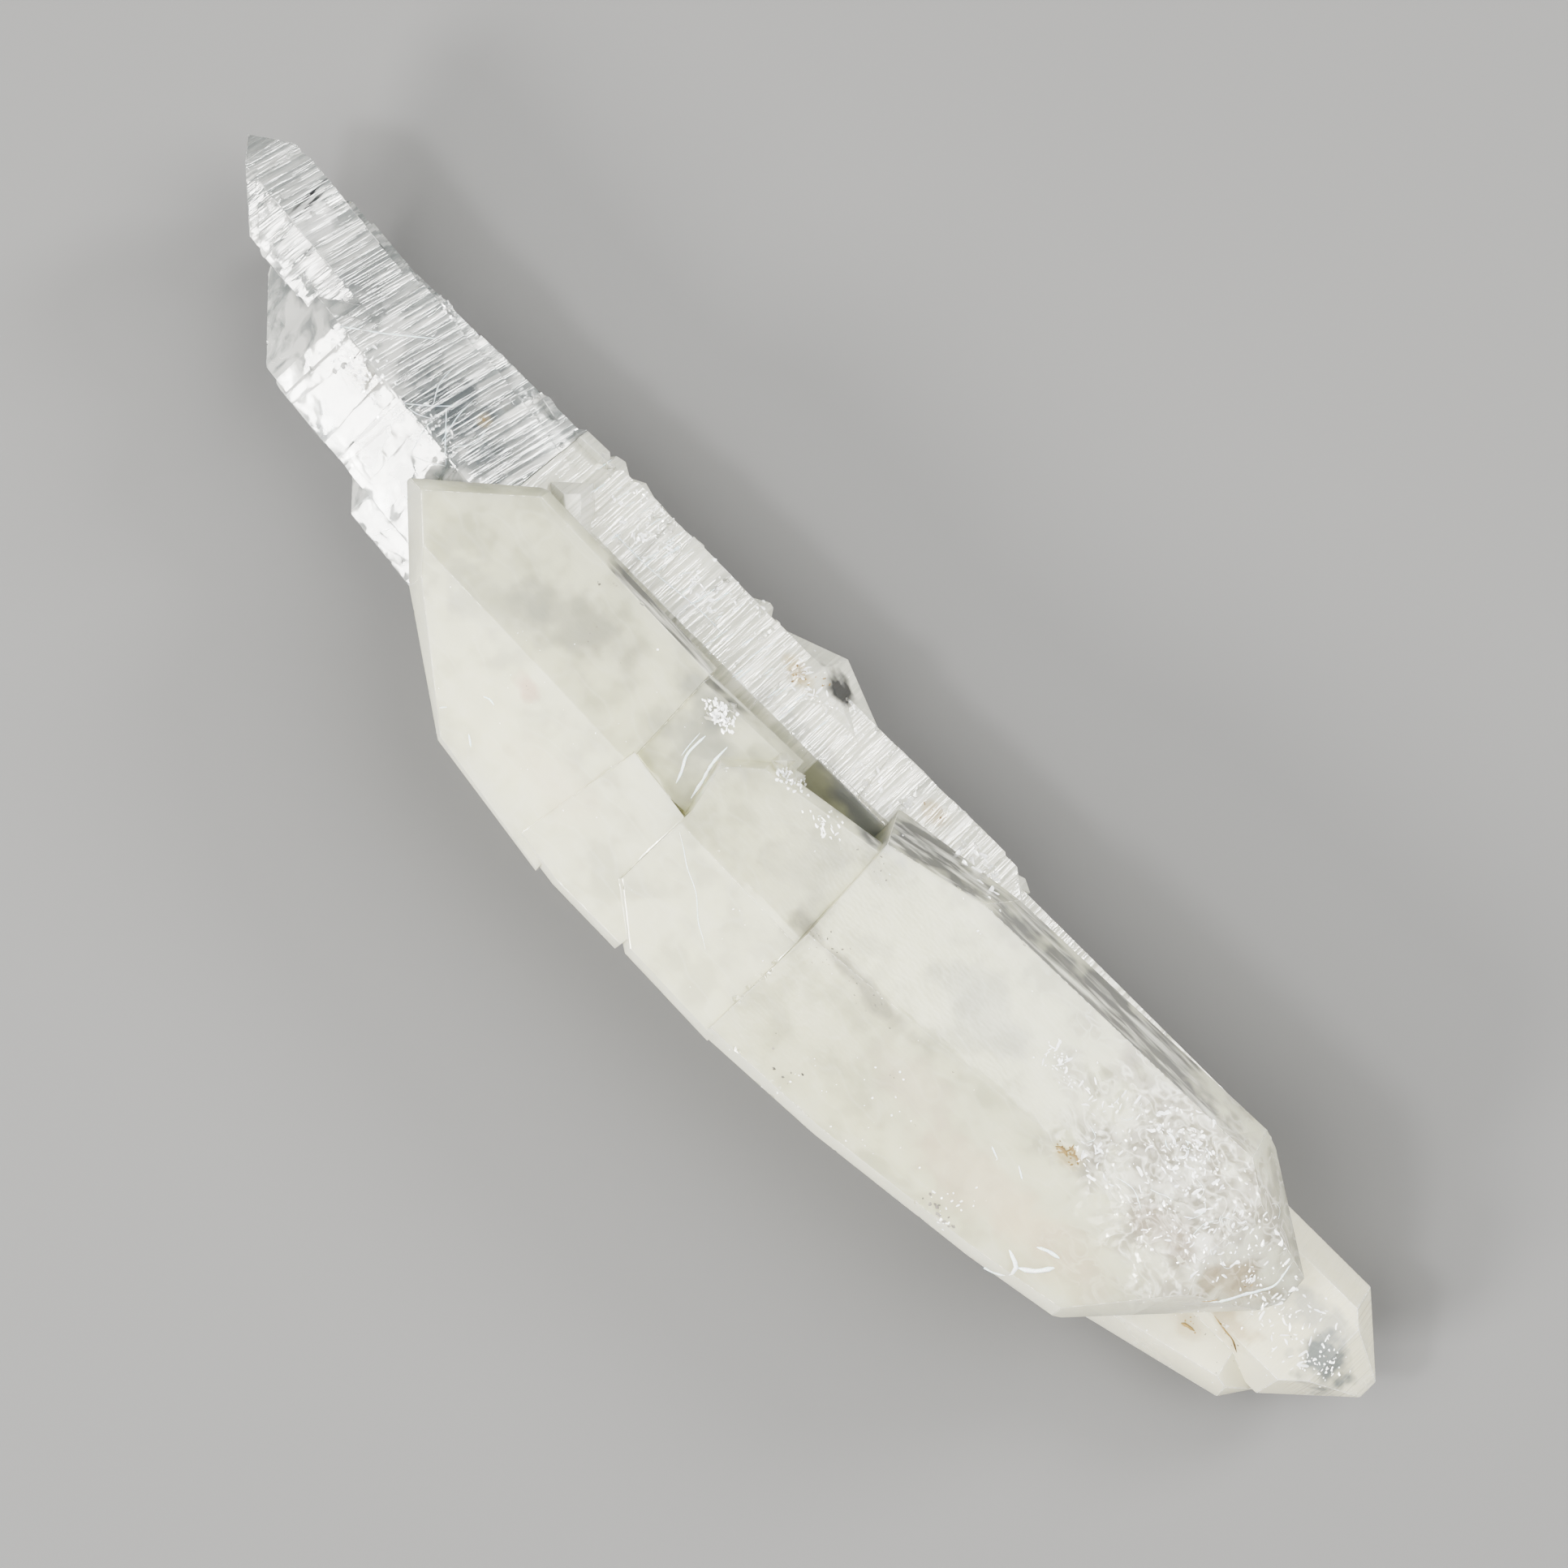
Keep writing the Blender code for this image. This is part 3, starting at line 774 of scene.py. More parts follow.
def slivers(swarms, dice):
    """Bent slivers that lie in the faces around a centre, as the rims of healed cracks do."""
    whole = bmesh.new()
    for centre, reach, squeeze, count, size in swarms:
        bm = bmesh.new()
        for _ in range(count):
            out, angle = reach * dice.random() ** 0.6, dice.uniform(0, math.tau)
            place, normal = on_top(centre[0] + math.cos(angle) * out,
                                   centre[1] + math.sin(angle) * out * squeeze)
            if place is None:
                continue
            half = size * dice.uniform(0.4, 1.3)
            verts = bmesh.ops.create_uvsphere(bm, u_segments=8, v_segments=5, radius=1.0)["verts"]
            bend = dice.uniform(-0.5, 0.5) * half
            wide, thick = half * dice.uniform(0.25, 0.6), half * 0.1
            for vert in verts:
                along, side, up = vert.co * dice.uniform(0.85, 1.1)
                vert.co = (along * half, side * wide + along * along * bend, up * thick)
            turn = Matrix.Rotation(angle + math.pi / 2 + dice.gauss(0, 0.6), 4, "Z")
            lean = Matrix.Rotation(dice.uniform(-0.9, 0.9), 4, "X")
            matrix = Matrix.Translation(place - normal * wide * 0.2) @ turn @ lean
            bmesh.ops.transform(bm, matrix=matrix, verts=verts)
        join(whole, bm)
    return whole


# The centre, its reach, how flat the swarm lies, how many slivers, and their length.
SWARMS = (
    ((-15.6, -2.3), 2.6, 0.6, 26, 0.24), ((-15.6, -2.6), 3, 0.6, 50, 0.13),
    ((-15.4, -3.4), 1, 0.5, 26, 0.16), ((-18.9, -2.4), 1.9, 0.8, 40, 0.15),
    ((-20.2, -2.4), 0.9, 1.3, 20, 0.12), ((-12.4, -2.2), 0.8, 0.6, 12, 0.14),
    ((-11.1, -2.2), 0.5, 0.9, 22, 0.15), ((-13.9, -1), 0.8, 0.5, 14, 0.18), ((-13.2, -3), 0.6, 0.8, 8, 0.16),
    ((14.4, -1), 0.9, 0.7, 10, 0.1), ((7.5, -3.5), 2.4, 0.25, 40, 0.15), ((17.2, -0.5), 0.9, 0.3, 16, 0.12),
    ((-21.8, -2.2), 1.5, 0.8, 40, 0.15), ((-1.6, -1.65), 0.6, 0.3, 14, 0.12),
    ((1.9, -4.1), 0.9, 0.5, 18, 0.14), ((-5.5, -4.3), 1, 0.4, 18, 0.16), ((-1.5, -3.6), 1.6, 0.3, 14, 0.12),
)
sliver_bm = slivers(SWARMS, dice)
print("slivers:", sum(swarm[3] for swarm in SWARMS), "faces:", len(sliver_bm.faces))


# %% Bright flakes
def flakes(patches, faces_up, dice):
    """Flat flakes sunk in the surface, all facing about one way. A patch is x, y, spread, count and size."""
    whole = bmesh.new()
    for x, y, spread, count, size in patches:
        bm = bmesh.new()
        for _ in range(count):
            place, normal = on_top(x + dice.gauss(0, spread), y + dice.gauss(0, spread * 0.6))
            if place is None:
                continue
            radius = size * dice.uniform(0.4, 1.0)
            verts = bmesh.ops.create_icosphere(bm, subdivisions=1, radius=1.0)["verts"]
            for vert in verts:
                vert.co *= dice.uniform(0.7, 1.15)
            facing = Vector(faces_up) + Vector((dice.gauss(0, 0.13), dice.gauss(0, 0.13), 0))
            lean = facing.to_track_quat("Z", "Y").to_matrix().to_4x4()
            lean = lean @ Matrix.Rotation(dice.uniform(0, math.tau), 4, "Z")
            stretch = Matrix.Diagonal((radius * dice.uniform(0.6, 1.5), radius * 0.7, radius * 0.16, 1))
            sunk = Matrix.Translation(place - normal * radius * 0.04)
            bmesh.ops.transform(bm, matrix=sunk @ lean @ stretch, verts=verts)
        join(whole, bm)
    return whole


HALF_WAY_TO_LAMP = (0.16, 0.29, 1.0)
FLAKE_PATCHES = (
    (2.83, -1.55, 0.27, 62, 0.13), (3.4, -1.5, 0.14, 12, 0.1), (0.3, -1.8, 0.22, 26, 0.12),
    (-0.2, -1.95, 0.2, 16, 0.1), (-1.6, -1.63, 0.32, 20, 0.09), (17, -0.5, 0.5, 40, 0.11),
    (18.2, -0.35, 0.25, 16, 0.1), (14.7, -0.9, 0.5, 22, 0.07), (17.3, -3.6, 0.2, 16, 0.09),
    (-15.4, -3.3, 0.5, 50, 0.08), (-16.4, -2.3, 1.5, 90, 0.08), (-19.2, -2.4, 0.8, 44, 0.08),
    (8, -3.7, 0.5, 30, 0.08), (-5.6, -4.4, 0.5, 26, 0.08), (-12.2, 3, 0.6, 24, 0.07),
    (-8, 3, 1.2, 22, 0.06), (-5, 1.5, 4.5, 44, 0.035), (6, 2.6, 2.4, 26, 0.035),
    (1.6, -4.2, 0.6, 18, 0.06), (-19.4, 0.2, 0.9, 14, 0.05), (-22, -2.2, 1, 40, 0.07),
    (-23.1, -2, 0.45, 46, 0.08), (5.5, -4.2, 1, 24, 0.11), (9, -4, 0.6, 18, 0.12), (-1, -4.3, 0.8, 16, 0.1),
    (5, -3.4, 1.6, 24, 0.06), (-3, -3.6, 2, 20, 0.06), (-11.2, -2.2, 0.4, 24, 0.06),
)
flake_bm = flakes(FLAKE_PATCHES, HALF_WAY_TO_LAMP, dice)
print("flakes:", len(islands(flake_bm)), "faces:", len(flake_bm.faces))

# %% [markdown]
# ## Rust and dark grains
#
# Iron in the water left thin brown threads and golden specks in the cracks, and a few dark grains of
# the host rock stick to the faces. They are small solid crumbs, so they show from every side.

# %% Rust threads and dark grains
RUST_PATHS = (
    (((-19.63, 0.23), (-19.84, 0.14), (-20.08, 0.09)), 0.06),
    (((-20.06, -0.65), (-20.4, -0.62), (-20.66, -0.6), (-20.97, -0.58), (-21.37, -0.42)), 0.035),
    (((-19.41, -1.07), (-19.3, -0.85), (-19.15, -0.67)), 0.03),
    (((-12.89, -0.5), (-13.1, -0.62), (-13.35, -0.56)), 0.05),
    (((-13.3, -0.6), (-13.5, -0.75), (-13.73, -0.63)), 0.04),
    (((-13.1, -0.45), (-13.25, -0.75), (-13.2, -0.95)), 0.03),
)
RUST_PATCHES = (
    (-13.3, -0.6, 0.22, 16, 0.08), (2.3, -4.1, 0.2, 8, 0.07), (1.6, -4.5, 0.15, 5, 0.06),
    (-3.39, -4.34, 0.15, 5, 0.06), (13.95, -2.13, 0.03, 1, 0.1), (-19.9, 0.1, 0.15, 6, 0.06),
    (-19.94, -2.02, 0.25, 6, 0.05),
)
GRAIN_PATCHES = (
    (-11.9, 3.25, 0.25, 10, 0.1), (-12.7, 3.35, 0.12, 5, 0.09), (-5.7, 4.1, 0.6, 8, 0.07),
    (-20.5, 0, 0.7, 10, 0.045), (-3.6, -1.9, 0.3, 6, 0.05),
    (7.99, -1.49, 0.05, 4, 0.06), (7.7, -1.8, 0.05, 3, 0.05), (-4.7, 0.66, 0.5, 16, 0.045),
    (-6.2, 0.55, 0.4, 12, 0.045), (-3.7, 0.66, 0.15, 6, 0.04), (7.17, 2.08, 0.05, 2, 0.05),
    (-9.3, 0.3, 0.1, 2, 0.04), (-8.3, 1.7, 0.1, 2, 0.04), (-9.9, 2.1, 0.1, 2, 0.04),
    (-23, -2.1, 0.5, 12, 0.05), (6.7, -0.2, 0.35, 7, 0.04),
)
UP = (0, 0, 1)
rust_bm = strands("rust", RUST_PATHS, 0.1, dice)
rust_specks = flakes(RUST_PATCHES, UP, dice)
grain_bm = flakes(GRAIN_PATCHES, UP, dice)
print("rust faces:", len(rust_bm.faces))
print("specks:", len(islands(rust_specks)), "grains:", len(islands(grain_bm)))

# %% [markdown]
# ## Effects for the materials
#
# An effect that more than one material uses is a node group. There are five: clouds of trapped bubbles,
# fine growth lines, soft ragged patches of another colour, white worn edges, and the streaky veils of
# glassy quartz, which are made from the first two. All of them read Object coordinates in metres, so
# their scales are in turns per metre. The worn edges also read the wear written on the corners.

# %% Node helpers
def new_group(name, inputs, outputs):
    """A node group, the values that it is given, and the node that takes its results."""
    group = bpy.data.node_groups.new(name, "ShaderNodeTree")
    for label, value in inputs.items():
        kind = "NodeSocketVector" if isinstance(value, tuple) else "NodeSocketFloat"
        group.interface.new_socket(label, in_out="INPUT", socket_type=kind).default_value = value
    for label in outputs:
        group.interface.new_socket(label, in_out="OUTPUT", socket_type="NodeSocketFloat")
    return group, group.nodes.new("NodeGroupInput").outputs, group.nodes.new("NodeGroupOutput")


def hand_out(tree, result, **values):
    """Link a value to each output of a group."""
    for label, value in values.items():
        tree.links.new(value, result.inputs[label])
    print(tree.name, "nodes:", len(tree.nodes), "outputs:", list(values))


def add(tree, kind, values=(), **settings):
    """A node with its settings, and a value or a link for each named or numbered socket."""
    node = tree.nodes.new(kind)
    for key, value in settings.items():
        setattr(node, key, value)
    for socket, value in dict(values).items():
        if isinstance(value, bpy.types.NodeSocket):
            tree.links.new(value, node.inputs[socket])
        else:
            node.inputs[socket].default_value = value
    return node


def grouped(tree, group, values):
    """A use of a node group, as its outputs."""
    return add(tree, "ShaderNodeGroup", values, node_tree=group).outputs


# %% Numbers from nodes
def math_node(tree, operation, *values):
    return add(tree, "ShaderNodeMath", enumerate(values), operation=operation).outputs[0]


def times(tree, first, second):
    return math_node(tree, "MULTIPLY", first, second)


def sloped(tree, value, slope, start):
    """The value times a slope, plus a start."""
    return math_node(tree, "MULTIPLY_ADD", value, slope, start)


def ramp(tree, value, low, high):
    """0 below low, 1 above high, and an even slope between."""
    return add(tree, "ShaderNodeMapRange", {"Value": value, "From Min": low, "From Max": high}).outputs[0]


def crest(tree, value, width):
    """1 along the middle values of a noise, which run as thin wandering lines."""
    return ramp(tree, math_node(tree, "ABSOLUTE", math_node(tree, "SUBTRACT", value, 0.5)), width, 0.0)


# %% Places and noise from nodes
def here(tree):
    """Object coordinates, in metres."""
    return add(tree, "ShaderNodeTexCoord").outputs["Object"]


def axis(tree, label, vector=None):
    """One of the three numbers of a place."""
    return add(tree, "ShaderNodeSeparateXYZ", {"Vector": vector or here(tree)}).outputs[label]


def turned(tree, vector, angle):
    """The vector turned about the Z axis."""
    return add(tree, "ShaderNodeVectorRotate", {"Vector": vector, "Angle": angle},
               rotation_type="Z_AXIS").outputs[0]


def place(tree, turn=(0, 0, 0), scale=(1, 1, 1)):
    """Object coordinates, turned and stretched."""
    return add(tree, "ShaderNodeMapping", {"Vector": here(tree), "Rotation": turn, "Scale": scale}).outputs[0]


def speckle(tree, vector, scale, detail=2.0, roughness=0.5, bend=0.0, **settings):
    """Soft noise from 0 to 1. The scale is in turns per metre."""
    values = {"Vector": vector, "Scale": scale, "Detail": detail, "Roughness": roughness, "Distortion": bend}
    return add(tree, "ShaderNodeTexNoise", values, **settings).outputs[0]


# %% Clouds of bubbles
tree, given, result = new_group("bubble_clouds", {"Scale": 160.0, "Softness": 0.5},
                                ["Cloud", "Wisp", "Grain"])
flow = place(tree, turn=(0, 0, 0.12), scale=(0.45, 1.0, 0.8))
big = speckle(tree, flow, given["Scale"], 3.0, given["Softness"])
wispy = speckle(tree, flow, times(tree, given["Scale"], 4.0), 1.0)
grain = speckle(tree, flow, times(tree, given["Scale"], 40.0), 0.0)
hand_out(tree, result, Cloud=ramp(tree, big, 0.32, 0.7), Wisp=crest(tree, wispy, 0.05), Grain=grain)
cloud_group = tree

# %% Growth lines
LENGTHWISE = 260.0      # turns per metre along a line, far fewer than across it
tree, given, result = new_group("growth_lines", {"Lines per metre": 5000.0, "Heading": 0.0},
                                ["Height", "Band"])
lined_up = turned(tree, here(tree), given["Heading"])
strip = add(tree, "ShaderNodeCombineXYZ", {
    "X": times(tree, axis(tree, "X", lined_up), given["Lines per metre"]),
    "Y": times(tree, axis(tree, "Y", lined_up), LENGTHWISE)}).outputs[0]
lines = speckle(tree, strip, 1.0, 2.0, 0.6, noise_dimensions="2D")
broad = speckle(tree, strip, 0.16, 1.0, noise_dimensions="2D")
hand_out(tree, result, Height=ramp(tree, lines, 0.38, 0.62), Band=ramp(tree, broad, 0.4, 0.62))
line_group = tree

# %% Soft patches
tree, given, result = new_group(
    "soft_patch", {"Ragged": 0.5, "Centre": (0.0, 0.0, 0.0), "Reach": (0.001, 0.001, 1.0),
                   "Turn": 0.0, "Low": 0.5, "High": 1.1}, ["Mask"])
away = add(tree, "ShaderNodeVectorMath", {0: here(tree), 1: given["Centre"]}, operation="SUBTRACT").outputs[0]
away = turned(tree, away, times(tree, given["Turn"], -1.0))
oval = add(tree, "ShaderNodeVectorMath", {0: away, 1: given["Reach"]}, operation="DIVIDE").outputs[0]
length = add(tree, "ShaderNodeVectorMath", {0: oval}, operation="LENGTH").outputs["Value"]
uneven = sloped(tree, given["Ragged"], 2.2, math_node(tree, "SUBTRACT", length, 1.1))
hand_out(tree, result, Mask=ramp(tree, uneven, given["High"], given["Low"]))
patch_group = tree

# %% Worn edges
tree, given, result = new_group("worn_edges", {"Whiteness": 0.5, "Roughening": 0.3}, ["White", "Rough"])
wear = add(tree, "ShaderNodeAttribute", attribute_name="wear").outputs["Fac"]
worn = times(tree, wear, ramp(tree, speckle(tree, place(tree), 5000.0, 1.0), 0.25, 0.6))
hand_out(tree, result, White=times(tree, worn, given["Whiteness"]),
         Rough=times(tree, worn, given["Roughening"]))
wear_group = tree

# %% Streaky veils
tree, given, result = new_group("streaky_veils", {"Heading": 0.0, "Streak roughness": 0.1},
                                ["Streak", "Cloud", "Veil", "Rough", "Height", "Ragged"])
clouds = grouped(tree, cloud_group, {"Scale": 420.0, "Softness": 0.6})
lines = grouped(tree, line_group, {"Lines per metre": 6500.0, "Heading": given["Heading"]})
streak = times(tree, lines["Height"], sloped(tree, lines["Band"], 0.7, 0.3))
ragged = speckle(tree, place(tree), 1400.0)
foil = speckle(tree, place(tree, turn=(0, 0, 0.5), scale=(1.0, 0.6, 1.0)), 1000.0, 3.0, bend=1.5)
left = ramp(tree, sloped(tree, ragged, 0.0006, axis(tree, "Y")), -0.0007, -0.0003)
streak = add(tree, "ShaderNodeMix", {0: left, 2: streak, 3: ramp(tree, foil, 0.36, 0.54)},
             data_type="FLOAT").outputs[0]
veil = times(tree, clouds["Wisp"], clouds["Cloud"])
rough = sloped(tree, veil, 0.2, sloped(tree, streak, given["Streak roughness"], 0.02))
steps = times(tree, lines["Height"], math_node(tree, "SUBTRACT", 1.0, left))
hand_out(tree, result, Streak=streak, Cloud=clouds["Cloud"], Veil=veil, Rough=rough,
         Height=sloped(tree, clouds["Wisp"], 0.1, steps), Ragged=ragged)
veil_group = tree

# %% [markdown]
# ## Milky and clear quartz
#
# Milky quartz is quartz full of bubbles too small to see. Light gets in, scatters and comes out again, so
# the material mixes subsurface scattering with some plain transmission. Its colour drifts from warm white
# on the left edge to cool grey on the right, and thins to glassy grey in clouds and at the cracked tip.
# Long patches of painted shade and dark reflection, with painted glints, lie along the steep right flanks.

# %% Colours from nodes
QUARTZ = 1.544          # how strongly quartz bends light
WHITE = (1, 1, 1, 1)


def blend(tree, share, first, second):
    """Mix two colours by a share from 0 to 1."""
    return add(tree, "ShaderNodeMix", {0: share, 6: first, 7: second}, data_type="RGBA").outputs[2]


def patch(tree, ragged, x, y, reach_x, reach_y, turn, low=0.5, high=1.1):
    """A soft oval with a ragged rim, 1 in the middle. Places and reaches are in millimetres."""
    return grouped(tree, patch_group, {
        "Ragged": ragged, "Centre": (x * MM, y * MM, 0), "Reach": (reach_x * MM, reach_y * MM, 1),
        "Turn": turn, "Low": low, "High": high})["Mask"]


def tinted(tree, colour, ragged, tints):
    """The colour with soft patches of other colours. A tint is x, y, reaches, turn, strength and colour."""
    for *oval, strength, other in tints:
        colour = blend(tree, times(tree, patch(tree, ragged, *oval), strength), colour, (*other, 1))
    return colour


def bumped(tree, shader, height, strength, distance):
    bump = add(tree, "ShaderNodeBump", {"Strength": strength, "Distance": distance, "Height": height})
    tree.links.new(bump.outputs["Normal"], shader.inputs["Normal"])


# %% Milk, warm on the left and cool on the right
WARM_MILK, COOL_MILK, THIN_MILK = (0.85, 0.84, 0.62, 1), (0.82, 0.825, 0.66, 1), (0.47, 0.48, 0.4, 1)
THICK_MILK = (0.95, 0.945, 0.8, 1)
milky, tree, shader = principled("milky_quartz", IOR=QUARTZ, Transmission_Weight=0.5,
                                 Subsurface_Weight=0.7, Subsurface_Scale=0.0016,
                                 Subsurface_Radius=(1.0, 0.97, 0.88))
clouds = grouped(tree, cloud_group, {"Scale": 300.0, "Softness": 0.55})
ragged = speckle(tree, place(tree), 900.0)
milk = blend(tree, ramp(tree, axis(tree, "Y"), -0.003, 0.0035), COOL_MILK, WARM_MILK)
gaps = times(tree, math_node(tree, "SUBTRACT", 1.0, clouds["Cloud"]), 0.5)
milk = blend(tree, sloped(tree, ramp(tree, ragged, 0.52, 0.36), 0.22, gaps), milk, THIN_MILK)
milk = blend(tree, times(tree, ramp(tree, ragged, 0.42, 0.62), 0.3), milk, THICK_MILK)
print("nodes of the milk:", len(tree.nodes))

# %% The cracked tip, and wisps everywhere
tail = patch(tree, ragged, -16.9, -2.4, 5.2, 3.1, -0.12, 0.5, 1.15)
clump = speckle(tree, place(tree, scale=(1.0, 1.3, 1.0)), 1100.0, bend=1.2)
cracks = math_node(tree, "MAXIMUM", crest(tree, clump, 0.07), ramp(tree, ragged, 0.5, 0.66))
tail_milk = blend(tree, cracks, (0.5, 0.475, 0.42, 1), (1.0, 0.99, 0.93, 1))
milk = blend(tree, times(tree, tail, 0.85), milk, tail_milk)
milk = blend(tree, times(tree, clouds["Wisp"], 0.14), milk, (0.99, 0.98, 0.9, 1))
print("nodes with the cracked tip:", len(tree.nodes))

# %% Tints, painted shade on the flanks and painted light on the rims
TINTS = (
    (7.9, -0.2, 1.8, 0.9, 0.3, 0.5, (0.42, 0.42, 0.37)), (6.3, -0.6, 1.2, 0.7, 0, 0.4, (0.44, 0.44, 0.38)),
    (-5, 0.6, 2.8, 0.3, 0.05, 0.7, (0.34, 0.33, 0.29)), (9.5, 1.2, 2, 1.2, 0.3, 0.3, (0.5, 0.51, 0.48)),
    (7.2, 2.1, 0.5, 0.4, 0, 0.5, (0.7, 0.48, 0.4)), (-12.5, 1.8, 3, 1, 0.2, 0.35, (0.88, 0.74, 0.6)),
    (-9, 1.4, 1.6, 0.8, 0, 0.3, (0.85, 0.74, 0.64)), (4.6, 3.4, 2, 0.8, 0.2, 0.3, (0.84, 0.76, 0.6)),
    (-13.3, -0.58, 0.5, 0.35, 0, 0.5, (0.66, 0.55, 0.3)),
    (-19.3, -1.7, 1.4, 0.9, 0.4, 0.5, (0.55, 0.45, 0.3)), (-17, -1.2, 1.6, 0.5, 0.2, 0.45, (0.48, 0.4, 0.34)),
    (-15.2, 1.6, 2.4, 1.3, 0.2, 0.3, (0.93, 0.84, 0.62)),
    (2.6, -0.6, 1.3, 0.9, 0.3, 0.55, (0.42, 0.43, 0.4)), (3.3, -1.5, 1.1, 0.5, 0, 0.5, (0.35, 0.36, 0.35)),
    # Painted shade: bluish grey in the shadowed gap between the plates and the strips.
    (-1.9, -2.75, 1.7, 0.4, 0, 0.8, (0.5, 0.52, 0.56)),
    (-2.2, -0.6, 1.6, 1.2, 0.5, 0.3, (0.5, 0.5, 0.46)), (-8.6, -1.6, 2.2, 0.9, 0.1, 0.3, (0.5, 0.51, 0.5)),
)
# Painted shade and dark reflection along the right flanks. The last number of each is its grey.
PAINTED_FLANK_SHADE = (
    (5.5, -2.1, 2.7, 0.5, 0.03, 0.2), (-1.8, -2.85, 1.7, 0.5, 0.02, 0.2), (-4, -3.4, 2.6, 0.6, 0.2, 0.22),
    (-8.2, -3.75, 2.4, 0.9, 0.128, 0.28), (-11.6, -4.3, 4.4, 0.9, 0.128, 0.24),
)
milk = tinted(tree, milk, ragged, TINTS)
side = add(tree, "ShaderNodeAttribute", attribute_name="side").outputs["Fac"]
flank = math_node(tree, "MAXIMUM", side, 0.0)
# Painted glints: pale streaks along the flanks, mixed into the painted shade below.
sheen = speckle(tree, place(tree, turn=(0, 0, -0.13), scale=(0.16, 1.0, 1.2)), 2600.0, 3.0, bend=0.3)
glint = ramp(tree, sheen, 0.47, 0.66)
# Each patch paints shade on the right flanks only, between its grey and the painted glints.
for *oval, grey in PAINTED_FLANK_SHADE:
    dark = times(tree, flank, patch(tree, ragged, *oval, 0.6, 1.15))
    milk = blend(tree, dark, milk, blend(tree, glint, (grey, grey, grey, 1), (0.88, 0.88, 0.82, 1)))
# Painted light: the steep left rims are lifted most of the way to pale cream.
milk = blend(tree, times(tree, side, -0.7), milk, (1.0, 0.99, 0.86, 1))
print("tints:", len(TINTS), "shades:", len(PAINTED_FLANK_SHADE), "nodes:", len(tree.nodes))

# %% Polish and relief of the plates
worn = grouped(tree, wear_group, {"Whiteness": 0.4, "Roughening": 0.25})
milk = blend(tree, worn["White"], milk, (0.98, 0.97, 0.92, 1))
tree.links.new(milk, shader.inputs["Base Color"])
rough = sloped(tree, clouds["Cloud"], 0.1, 0.07)
tree.links.new(math_node(tree, "ADD", rough, worn["Rough"]), shader.inputs["Roughness"])
lines = grouped(tree, line_group, {"Lines per metre": 7000.0, "Heading": 0.07})
bumped(tree, shader, sloped(tree, lines["Height"], 0.2, clouds["Grain"]), 0.5, 0.000005)
print(milky.name, "nodes:", len(tree.nodes))

# %% [markdown]
# The spire is plain glass with the refraction of quartz, 1.544, and a weak cool absorption over its few
# millimetres. The strips beside the plates and the points at the lower end are the same quartz with more
# veils in it, so they pass less light and look whiter. One function makes both from its numbers, and in
# both the growth lines show as fine streaks.

# %% Clear and veiled quartz
def streaked(name, heading, dark, light, warm, streak_rough, cloudy, density, tints, **values):
    """A glassy quartz with streaks across it, in colour, roughness and bump."""
    material, tree, shader = principled(name, IOR=QUARTZ, **values)
    absorb = add(tree, "ShaderNodeVolumeAbsorption", {"Color": (0.8, 0.85, 0.87, 1), "Density": density})
    tree.links.new(absorb.outputs["Volume"], tree.nodes["Material Output"].inputs["Volume"])
    veils = grouped(tree, veil_group, {"Heading": heading, "Streak roughness": streak_rough})
    worn = grouped(tree, wear_group, {"Whiteness": 1.0, "Roughening": 0.35})
    tint = blend(tree, veils["Streak"], dark, light)
    tint = blend(tree, times(tree, veils["Cloud"], cloudy), tint, light)
    tint = blend(tree, ramp(tree, axis(tree, "X"), -0.008, -0.022), tint, warm)
    tint = tinted(tree, tint, veils["Ragged"], tints)
    tint = blend(tree, times(tree, veils["Veil"], 0.2), tint, WHITE)
    tree.links.new(blend(tree, worn["White"], tint, WHITE), shader.inputs["Base Color"])
    tree.links.new(math_node(tree, "ADD", veils["Rough"], worn["Rough"]), shader.inputs["Roughness"])
    bumped(tree, shader, veils["Height"], 0.6, 0.00002)
    return material


# On the spire, the dark grey patches are painted shade: the dark that clear quartz shows through itself.
SPIRE_TINTS = (
    (14.7, -1.4, 2, 1.2, 0, 0.8, (0.15, 0.175, 0.19)), (18.9, -1.9, 1.4, 0.7, 0.1, 0.5, (0.22, 0.24, 0.25)),
    (21.5, -2.3, 0.8, 0.7, 0, 0.8, (1, 1, 1)), (17.3, -1.6, 0.35, 1.5, 0.7, 0.9, (1, 1, 0.98)),
    (17.2, 0.75, 1.3, 1, 0, 0.8, (1, 1, 1)), (17.25, -0.3, 0.6, 0.5, 0, 0.6, (0.3, 0.28, 0.22)),
    (20.6, -0.7, 1, 0.5, 0.1, 0.6, (0.25, 0.27, 0.28)), (13.95, -2.13, 0.25, 0.2, 0, 0.5, (0.75, 0.62, 0.4)),
    # Painted shadows of growth steps: four thin near-black lines across the spire.
    (22.3, -2.75, 0.06, 0.9, 0.1, 1, (0.03, 0.03, 0.035)),
    (22.08, -2.7, 0.06, 0.9, 0.1, 1, (0.03, 0.03, 0.035)),
    (16, 0.65, 0.06, 1.6, -0.06, 1, (0.04, 0.04, 0.045)),
    (15.7, 0.65, 0.06, 1.5, -0.06, 1, (0.04, 0.04, 0.045)),
)
